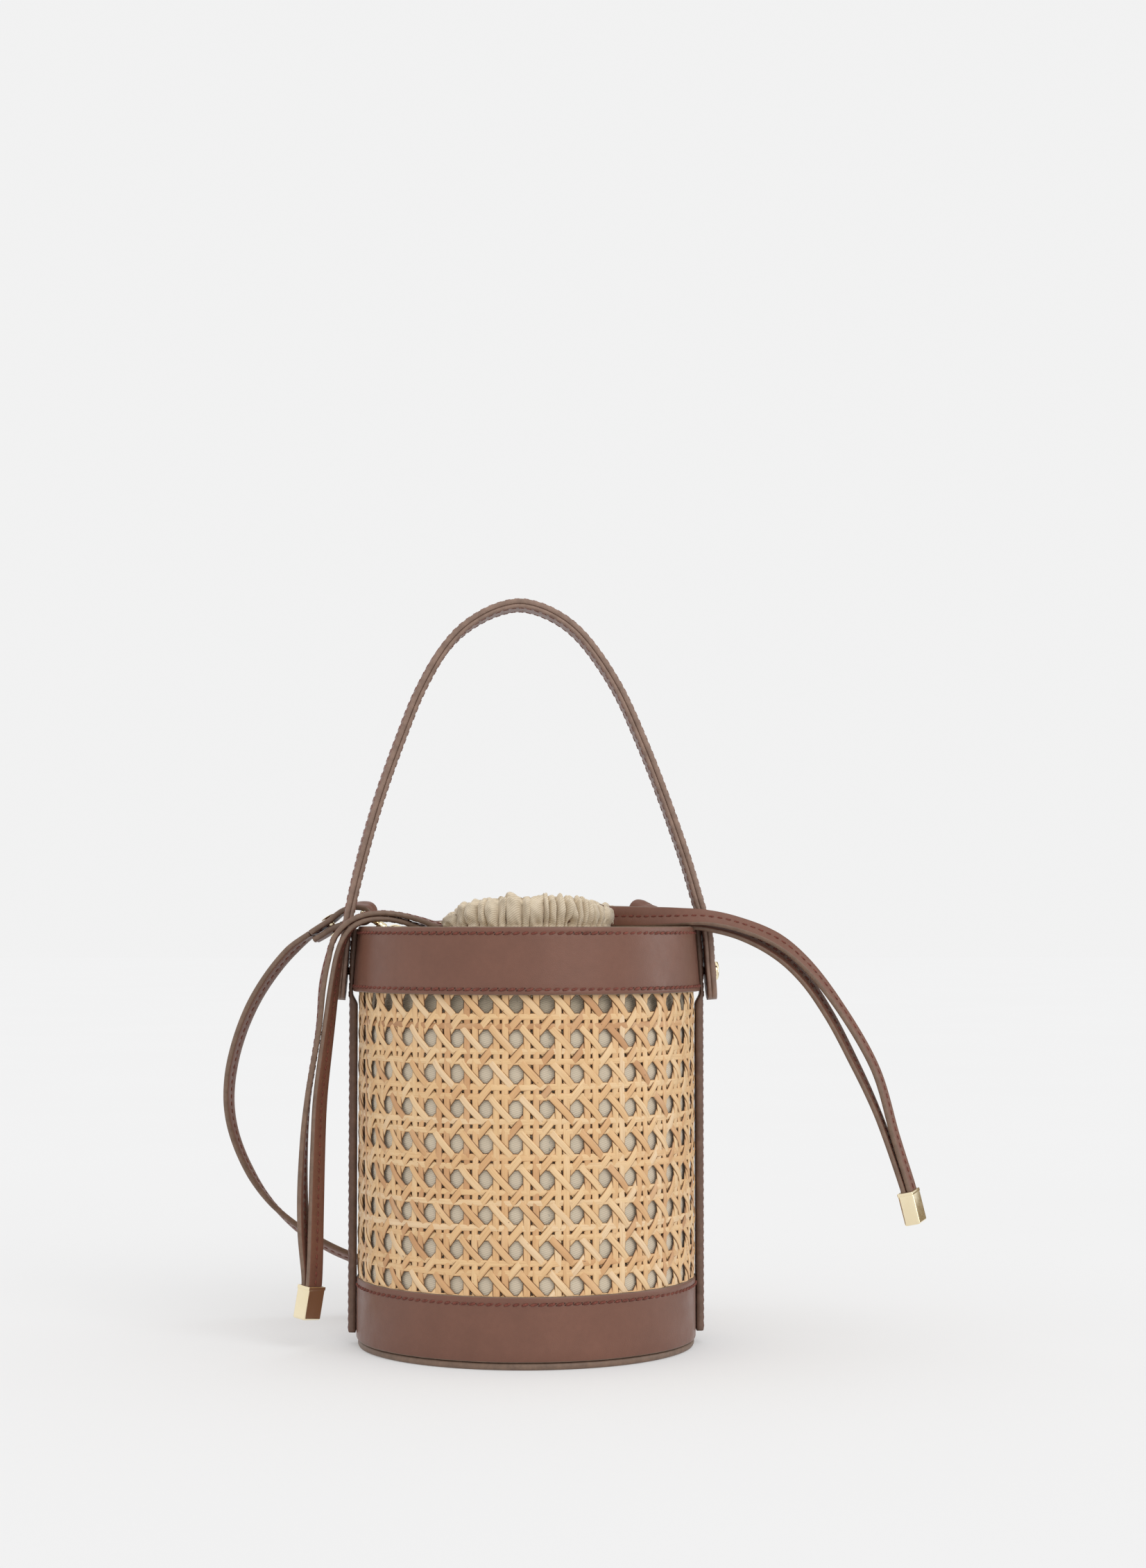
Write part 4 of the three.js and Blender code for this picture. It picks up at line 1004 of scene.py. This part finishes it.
# ---- woven cane
COLUMNS = 36
ROW_PITCH = 13.72
FIRST_ROW_Z = 142.2
CANE_BOTTOM, CANE_TOP = 15.0, 158.5
TUCK_ROWS, TUCK_LAYERS = 1.4, 0.7
PHASE = math.radians(-90.0 + 5.65)
STRAND_THICK, LAYER = 0.5, 0.53
VERTICAL_WIDTH, HORIZONTAL_WIDTH, DIAGONAL_WIDTH = 2.55, 2.45, 2.6
PAIR_ACROSS, PAIR_UP = 0.141, 0.143
WAVE_LAYERS = 0.62
ODD_STRANDS = 0.07
# painted shade: each strand's flanks and the flange under it are darkened in the tone attribute, standing in
# for the contact shadow at crossings and the shade in the gaps
FLANK_SHARE = 0.3
FLANK_PAINTED_SHADE = np.array([0.2, 0.06, 0, 0, 0, 0.06, 0.2, 1.0, 1.0])
# a strand's section: share of its width, share of its thickness; the last two points make a wide flange
# underneath that carries painted shade
CANE_SECTION = [
    (-0.5, 0.0), (-0.46, 0.3), (-0.36, 0.47), (0.0, 0.54), (0.36, 0.47), (0.46, 0.3), (0.5, 0.0),
    (0.61, -0.42), (-0.61, -0.42),
]


def cane_strand(u, v, h, width, offset):
    """One flat strand: u counts columns, v rows, h layers outwards; returns its points and uvs."""
    r = CANE_R + h * LAYER
    angle = PHASE + u * 2 * math.pi / COLUMNS
    p = columns_of(r * np.cos(angle), r * np.sin(angle), FIRST_ROW_Z - v * ROW_PITCH)
    normal = columns_of(np.cos(angle), np.sin(angle), 0.0)
    t = unit(np.gradient(p, axis=0))
    side = unit(np.cross(normal, t))
    up = np.cross(t, side)
    verts = np.empty((len(p), len(CANE_SECTION), 3))
    uvs = np.empty((len(p), len(CANE_SECTION), 2))
    for k, (a, b) in enumerate(CANE_SECTION):
        verts[:, k] = p + side * (a * width)[:, None] + up * (b * STRAND_THICK)
        uvs[:, k] = columns_of(a * 0.0024 + offset, distances(p) * MM + offset * 3)
    return verts, uvs


def woven_cane():
    """Pairs of strands round and up the bag, with one strand each way over the diagonals."""
    rng = np.random.default_rng(SEED)
    low_v, high_v = (FIRST_ROW_Z - CANE_TOP) / ROW_PITCH, (FIRST_ROW_Z - CANE_BOTTOM) / ROW_PITCH
    all_verts, all_uvs, all_tones_and_shade, all_faces = [], [], [], []
    base = 0

    def waver(count, amount, smooth=14):
        raw = np.convolve(rng.normal(0, 1, count + smooth * 4), np.hanning(smooth * 2), mode="same")
        raw = raw[smooth * 2:smooth * 2 + count]
        return raw / max(raw.std(), 1e-6) * amount

    def add(u, v, h, width):
        nonlocal base
        count = len(u)
        widths = np.full(count, width * rng.uniform(0.93, 1.06)) * (1 + waver(count, 0.02))
        h = h + 0.1 * waver(count, 1.0, 20)
        # the strands' lower ends are pressed in under the lower band
        h = h - TUCK_LAYERS * (1 - np.clip((high_v - v) / TUCK_ROWS, 0, 1))
        tone = float(np.clip(rng.normal(0.52, 0.17), 0.1, 0.9))
        if rng.random() < ODD_STRANDS:
            tone = rng.choice([0.12, 0.88])
        verts, uvs = cane_strand(u, v, h, widths, rng.uniform(0, 2))
        n = verts.shape[1]
        all_faces.extend(tuple(base + i for i in f) for f in tube_faces(count, n))
        all_verts.append(verts.reshape(-1, 3))
        all_uvs.append(uvs.reshape(-1, 2))
        along = np.repeat(tone + waver(count, 0.09, 24), n)
        # each strand's own tone, less the painted shade on its flanks and underside
        all_tones_and_shade.append(FLANK_SHARE + (1 - FLANK_SHARE) * along - np.tile(FLANK_PAINTED_SHADE, count))
        base += count * n

    def wave(q):
        return WAVE_LAYERS * np.sin(2 * np.pi * q)

    v = np.arange(low_v, high_v, 1 / 9)
    for column in range(COLUMNS):
        for sign in (-1, 1):
            drift = waver(len(v), 0.006)
            u = np.full(len(v), column + 0.5 + sign * PAIR_ACROSS) + drift + rng.normal(0, 0.007)
            add(u, v, -sign * wave(0.5 - v % 1.0), VERTICAL_WIDTH)
    u = np.linspace(0, COLUMNS, COLUMNS * 9 + 1)
    for row in range(-1, 9):
        for sign in (-1, 1):
            level = row + 0.5 + sign * PAIR_UP
            if not low_v < level < high_v:
                continue
            drift = waver(len(u), 0.006)
            level_v = np.full(len(u), level) + drift + rng.normal(0, 0.006)
            add(u, level_v, sign * wave(u % 1.0 - 0.5), HORIZONTAL_WIDTH)
    s = np.arange(low_v - 1, high_v + 1, 1 / 10)
    for start in range(COLUMNS):
        for lean in (-1, 1):
            # along the strand: at s = 0 it crosses the vertical pair beside hole row 0
            path_v = s - 0.005 * np.sin(2 * np.pi * s)
            path_u = start + 0.5 + lean * (s + 0.005 * np.sin(2 * np.pi * s))
            keep = (path_v > low_v) & (path_v < high_v)
            drift = waver(keep.sum(), 0.010, 9)
            add(path_u[keep] + drift, path_v[keep], lean * np.cos(2 * np.pi * s[keep]) * 1.02, DIAGONAL_WIDTH)
    made = new_object("woven_cane", np.vstack(all_verts), all_faces, [CANE],
                      uvs=np.vstack(all_uvs), tones=np.concatenate(all_tones_and_shade))
    part(made, "bag", "cane", "cane_front", "cane_back")


woven_cane()


# ---- lining and pocket
# the lining's circumference as it is cut, in metres
LINING_ROUND = 0.414
SEAM_R = LINING_R + 1.25
POCKET_R = 64.75
POCKET_PITCH = 2.9


def thickened(made, metres, offset):
    modifier = made.modifiers.new("thick", "SOLIDIFY")
    modifier.thickness = metres
    modifier.offset = offset


def cloth_noise(x, y, z, scale, seed=0.0):
    return noise.noise(Vector((x / scale + seed, y / scale, z / scale)))


def lining():
    """The pouch: a soft cloth wall with a flat bottom, seams pressed in where the pocket is sewn on."""
    turns = 2 * np.pi * np.arange(288) / 288
    floor_z, low, high, seam_depth = 5.9, 6.4, 137.7, 0.4
    verts, uvs = [], []
    for r in (0.0, 20.0, 40.0, 58.0, 63.5, 65.2):
        verts += [(r * math.cos(a), r * math.sin(a), floor_z) for a in turns]
        uvs += [(a * r * MM, r * MM) for a in turns]
    for z in [*np.arange(low, high, 2.2), high]:
        fill = max(0.0, min(1.0, (z - 6.0) / 16.0, (138.0 - z) / 8.0))
        for a in turns:
            x, y = math.cos(a), math.sin(a)
            r = LINING_R - 0.1 + 1.55 * fill + 0.3 * cloth_noise(x * 60, y * 60, z, 22.0)
            across = LINING_R * math.radians(((math.degrees(a) - 270 + 180) % 360) - 180)
            if POCKET_BOTTOM - 3 < z < POCKET_TOP and abs(across - POCKET_DIVIDER_X) < 1.2:
                r -= seam_depth
            if abs(z - POCKET_BOTTOM) < 1.3 and abs(across) < 53:
                r -= seam_depth
            verts.append((r * x, r * y, z))
            uvs.append((a * LINING_R * MM, z * MM))
    faces = grid_faces(len(verts) // len(turns), len(turns), wrap_columns=True)
    made = new_object("lining_cloth", verts, faces, [LINING], uvs=uvs)
    thickened(made, 0.0005, 1.0)
    part(made, "bag", "lining_fabric", "lining_pouch")
    heights = np.arange(POCKET_BOTTOM + 1, POCKET_TOP, POCKET_PITCH)
    sides = (270 - POCKET_HALF_ANGLE, 270 + POCKET_HALF_ANGLE)
    rows = [
        upright_stitches(*circle_points(azimuth, SEAM_R), heights)
        for azimuth in (270 + math.degrees(POCKET_DIVIDER_X / LINING_R), *sides)
    ]
    rows.append(ring_stitches(SEAM_R, POCKET_BOTTOM, *sides, pitch=POCKET_PITCH))
    stitches = sewn("bag", "lining_fabric", "lining_stitches", rows,
                    thread=PALE_THREAD, length=2.2, radius=0.26, holes=False)
    return made


def pocket(lining_cloth):
    """A slip pocket: cloth against the lining below, standing a little open at its hemmed top."""
    columns, rows = 80, 30
    verts, uvs = [], []
    for i in range(rows + 1):
        z = POCKET_BOTTOM + (POCKET_TOP - POCKET_BOTTOM) * i / rows
        for share in np.arange(columns + 1) / columns:
            azimuth = 270 - POCKET_HALF_ANGLE + 2 * POCKET_HALF_ANGLE * share
            across = LINING_R * math.radians(azimuth - 270)
            bay = max(0.0, math.sin(math.pi * share)) ** 0.5
            divider = 1 - math.exp(-((across - POCKET_DIVIDER_X) / 6.0) ** 2)
            gap = 0.7 + 2.1 * bay * divider * (i / rows) ** 2 + 0.25 * cloth_noise(across, 0, z, 14.0, 7.0)
            verts.append((*circle_points(azimuth, POCKET_R - gap), z))
            uvs.append((across * MM, z * MM))
    made = new_object("inner_pocket_cloth", verts, grid_faces(rows + 1, columns + 1), [LINING], uvs=uvs)
    thickened(made, 0.0006, -1.0)
    part(made, "bag", "lining_fabric", "inner_pocket")


pocket(lining())

# ---- gathered collar
PLEATS = 46
PER_PLEAT = 14
COLLAR_TURN = math.radians(4.0)
HEM_ANGLE = -13.0
NECK_R = 36.0
# radius, height, depth of the folds, share of the uneven top edge,
# and which layer: 0 outside, 1 knobs at the top, 2 inside
COLLAR_LINE = [
    (65.85, 136.4, 0.0, 0, 0), (65.95, 141.6, 0.1, 0, 0), (65.3, 145.2, 0.5, 0, 0),
    (59.2, 150.6, 1.7, 0, 0), (52.2, 157.2, 2.3, 0, 0), (46.8, 163.0, 2.4, 0, 0), (42.2, 167.4, 2.3, 0, 0),
    (38.6, 170.0, 2.0, 0, 0), (36.0, 171.6, 1.6, 0, 0), (34.9, 172.6, 1.2, 0.02, 0),
    (35.2, 173.5, 1.5, 0.06, 0), (36.0, 174.6, 1.9, 0.15, 0), (36.6, 176.2, 2.1, 0.3, 0),
    (36.8, 178.0, 2.2, 0.45, 0), (36.7, 179.8, 2.2, 0.62, 0), (36.4, 181.2, 2.2, 0.78, 0),
    (36.0, 182.3, 2.1, 0.9, 0), (35.4, 183.0, 1.9, 1.0, 0), (34.8, 183.0, 1.5, 1.0, 1),
    (34.5, 183.4, 1.3, 1.0, 1), (34.1, 184.3, 1.5, 1.0, 1), (33.2, 184.8, 1.5, 1.0, 1),
    (32.2, 184.5, 1.2, 1.0, 1), (31.5, 183.4, 0.9, 0.9, 1), (31.3, 181.6, 0.7, 0.6, 2),
    (31.2, 179.0, 0.6, 0.3, 2), (31.1, 176.5, 0.6, 0.1, 2), (31.0, 174.0, 0.6, 0.0, 2),
    (31.0, 172.6, 0.6, 0.0, 2),
]


def gathered_collar():
    """The cloth ring from the lining's edge in to the drawn neck, then folded down inside as a channel."""
    rng = np.random.default_rng(SEED + 4)
    widths = rng.uniform(0.35, 1.9, PLEATS)
    widths = widths / widths.sum()
    starts = np.concatenate([[0], np.cumsum(widths)[:-1]])
    depth_share = rng.uniform(0.95, 1.75, PLEATS)
    tilt = rng.uniform(-1.0, 1.0, PLEATS)
    lean = rng.uniform(-0.95, 0.95, PLEATS)
    lumps = rng.uniform(-1.0, 1.0, PLEATS)
    knob_phase = rng.uniform(0.0, 1.0, PLEATS)
    # columns gather towards the creases, so those stay sharp
    f = 0.5 - 0.5 * np.cos(np.pi * np.arange(PER_PLEAT) / PER_PLEAT)
    points = np.array([row[:2] for row in COLLAR_LINE])
    tangent = unit(np.gradient(points, axis=0))
    cloth_v = distances(points)
    arches = [1 - np.abs(2 * f - 1) ** power for power in (5, 3, 2)]
    verts, uvs = [], []
    for k, (r, z, depth, lumpy, layer) in enumerate(COLLAR_LINE):
        nr, nz = tangent[k][1], -tangent[k][0]
        neck = float(np.clip((z - 170.0) / 3.0, 0, 1)) if layer < 2 else 0.0
        rising = float(np.clip((z - 172.0) / 11.0, 0, 1)) if layer < 2 else 0.0
        arch = arches[layer]
        for i in range(PLEATS):
            for j in range(PER_PLEAT):
                drift = lean[i] * widths[i] * 0.5 * rising * arch[j]
                a = (starts[i] + widths[i] * f[j] + drift) * 2 * math.pi + COLLAR_TURN
                ca, sa = math.cos(a), math.sin(a)
                x, y = NECK_R * ca, NECK_R * sa
                turned = math.degrees(math.atan2(sa, ca))
                # the hemmed opening at the right lies flat
                flat = float(np.clip((abs(turned - HEM_ANGLE - 2) - 6.0) / 6.0, 0, 1))
                swell = depth * depth_share[i] * (arch[j] - 1) + 1.7 * tilt[i] * (f[j] - 0.5) * neck * arch[j]
                low = math.exp(-((z - 174.0) / 1.3) ** 2) * (layer == 0)
                pucker = 1.6 * cloth_noise(x, y, z * 0.7, 4.4, 11.0) + 1.15 * cloth_noise(x, y, z, 2.1, 17.0)
                pucker += low * 2.8 * cloth_noise(x, y, 0, 2.4, 29.0)
                top = 0.0
                if lumpy:
                    top = 3.3 * (1 - min(1, abs(x - 1.0) / 34.0) ** 2.4) - 2.7 - 0.05 * max(0.0, -24 - x) ** 2
                    uneven = (0.8 * lumps[i] + 0.5) * arch[j] - 1.1 * (1 - arch[j])
                    if layer:
                        knob = 0.5 + 0.5 * math.cos(2 * math.pi * (f[j] - knob_phase[i]))
                        uneven = 0.9 * cloth_noise(x, y, 0, 2.6, 5.0) + 0.8 * knob - 0.3
                    top = lumpy * (top + flat * (uneven + 1.2 * cloth_noise(x, y, 0, 8.0, 3.0)))
                swell = (swell + pucker * neck) * flat
                rr = r + nr * swell
                verts.append((rr * ca, rr * sa, z + nz * swell * 0.6 + top))
                slip = 0.004 * lumps[i] * rising
                uvs.append(((starts[i] + widths[i] * f[j]) * LINING_ROUND + slip, cloth_v[k] * MM + 0.01))
    faces = grid_faces(len(COLLAR_LINE), PLEATS * PER_PLEAT, wrap_columns=True)
    made = new_object("gathered_collar_cloth", verts, faces, [COLLAR], uvs=uvs)
    smooth = made.modifiers.new("smooth", "SUBSURF")
    smooth.levels = smooth.render_levels = 1
    part(made, "bag", "lining_fabric", "gathered_collar")
    hem = upright_stitches(*circle_points(HEM_ANGLE, NECK_R + 0.7), np.arange(174.2, 181.0, 2.3))
    sewn("bag", "lining_fabric", "collar_hem_stitches", [hem],
         thread=PALE_THREAD, length=1.9, radius=0.22, lift=0.05, holes=False)


gathered_collar()

RUN_R, RUN_Z = 33.1, 178.25
for word, sign in (("front", -1), ("back", 1)):
    azimuths = np.linspace(7, 165, 60)
    dips = np.interp(azimuths, [0, 45, 110, 165], [1.2, 0.0, 0.0, 5.6])
    x, y = circle_points(azimuths * sign, RUN_R)
    run = Route(columns_of(x, y, RUN_Z - dips, 0, 0, 1), step=1.2)
    part(flat_strap(f"drawstring_{word}_run_leather", run, 8.0, 1.6, wobble=0.0),
         "bag", "strap_leather", f"drawstring_{word}_run")


# ---- handle and studs
HANDLE_LINE = [
    (-77.2, 142.0), (-75.95, 156.8), (-74.85, 170.5), (-72.6, 183.5), (-67.7, 204.1), (-60.8, 227.9),
    (-51.9, 253.0), (-44.6, 271.1), (-35.3, 287.6), (-27.5, 296.4), (-19.2, 302.2), (-11.0, 305.8),
    (-3.0, 307.2), (5.1, 305.6), (13.2, 301.8), (20.1, 296.6), (27.7, 287.9), (38.2, 271.4),
    (47.8, 250.3), (56.5, 228.1), (66.3, 200.1), (71.6, 182.1), (74.85, 170.5), (75.95, 156.8),
    (77.2, 142.0),
]
HANDLE_WIDTH = 18.0
HANDLE_TWIST = -5.0
HANDLE_TIP = 7.5
HANDLE_SEAM = 7.0
# layer, thickness, distance from the centre line, face, stitches' distance from the ends
HANDLE_LAYERS = (("outer", 2.3, 1.17, 1, 9), ("inner", 1.75, -0.72, -1, 22))


def handle():
    """Two layers of leather, stitched along both edges, narrowing to round ends."""
    rows = []
    for x, z in HANDLE_LINE:
        share = np.interp(z, [160, 190, 290, 308], [0, 1, 1, 0]) if x < 0 else 0.0
        twist = math.radians(HANDLE_TWIST * share)
        rows.append((x, 0, z, math.sin(twist), math.cos(twist), 0))
    route = Route(rows, step=0.9, dense=1200)
    near = np.clip(np.minimum(route.s, route.length - route.s) / HANDLE_TIP, 0, 1)
    widths = np.sqrt(1 - (1 - near) ** 2) * 0.82 + 0.18
    for word, thick, shift, face, ends in HANDLE_LAYERS:
        made = ribbon(f"handle_{word}_leather", route, HANDLE_WIDTH, thick, HANDLE_PROFILE,
                      [HANDLE_LEATHER, HANDLE_EDGE], shift, widths, wobble=0.05, edge_share=0.475)
        part(made, "handle", "handle_leather", f"handle_{word}")
        height = abs(shift) + thick * 0.44
        places = [stitches_on(route, o, face, ends, ends, height) for o in (-HANDLE_SEAM, HANDLE_SEAM)]
        sewn("handle", "handle_leather", f"handle_{word}_stitches", places,
             thread=HANDLE_THREAD, radius=0.4, lift=0.03, holes=False)


handle()

# distance from the bag's axis and radius, from the inside outwards
STUD_SHAPES = {
    "handle_stud": [
        (66.0, 1.3), (66.05, 1.6), (78.35, 1.6), (78.36, 3.7), (78.6, 3.9), (79.6, 3.9), (80.1, 3.55),
        (80.35, 2.6), (80.4, 0.3),
    ],
    "stud_back": [(63.75, 0.4), (63.8, 3.6), (64.1, 4.2), (65.2, 4.2), (65.35, 4.0)],
}
for word, sign in (("left", -1), ("right", 1)):
    for node, shape in STUD_SHAPES.items():
        line = [(sign * x, 0.0, STUD_Z) for x, _ in shape]
        made = tube(f"{node}_{word}_piece", line, [r for _, r in shape], GOLD, sides=40)
        part(made, "bag", "gold_metal", f"{node}_{word}")


# ---- floor and lights
FLOOR_HALF = 12000.0
# dark cards that only reflections see: two corners of the foot on the floor, height
DARK_CARDS = {"dark_flag": ((1000, 750), (400, 1400), 1600), "dark_card": ((580, 90), (310, 400), 85)}


def aimed(name, data, towards):
    """A light shining from the point `towards` onto the bag."""
    made = linked(name, data)
    made.rotation_euler = Vector(towards).to_track_quat("Z", "Y").to_euler()
    return made


def studio():
    """A pale floor that glows a little as painted light, soft light from the front and above, and a strip of
    light at the right.
    """
    corners = [(x * FLOOR_HALF, y * FLOOR_HALF, 0) for x, y in ((-1, -1), (1, -1), (1, 1), (-1, 1))]
    new_object("floor", corners, [(0, 1, 2, 3)], [floor_look()])
    for name, (start, end, top) in DARK_CARDS.items():
        corners = [(*start, 0), (*end, 0), (*end, top), (*start, top)]
        card = new_object(name, corners, [(0, 1, 2, 3)], [board_look()])
        card.visible_camera = card.visible_diffuse = card.visible_shadow = False
    world = bpy.data.worlds.new("studio")
    bpy.context.scene.world = world
    world.use_nodes = True
    background = world.node_tree.nodes["Background"]
    background.inputs["Color"].default_value = (0.885, 0.885, 0.885, 1.0)
    background.inputs["Strength"].default_value = 1.0
    for name, towards, power, spread in (
        ("softbox_front", (0.55, -1.0, 0.75), 0.85, 45), ("softbox_top", (-0.2, 0.1, 1.0), 0.25, 60),
    ):
        data = bpy.data.lights.new(name, "SUN")
        data.energy = power
        data.angle = math.radians(spread)
        aimed(name, data, towards)
    strip = bpy.data.lights.new("strip_right", "AREA")
    strip.shape = "RECTANGLE"
    strip.size, strip.size_y = 0.25, 0.9
    strip.energy = 2.2
    made = aimed("strip_right", strip, (1.1, 0.12, 0.25))
    made.visible_diffuse = False
    made.location = (1.1, 0.12, 0.35)
    bpy.context.scene.view_settings.view_transform = "Standard"


studio()
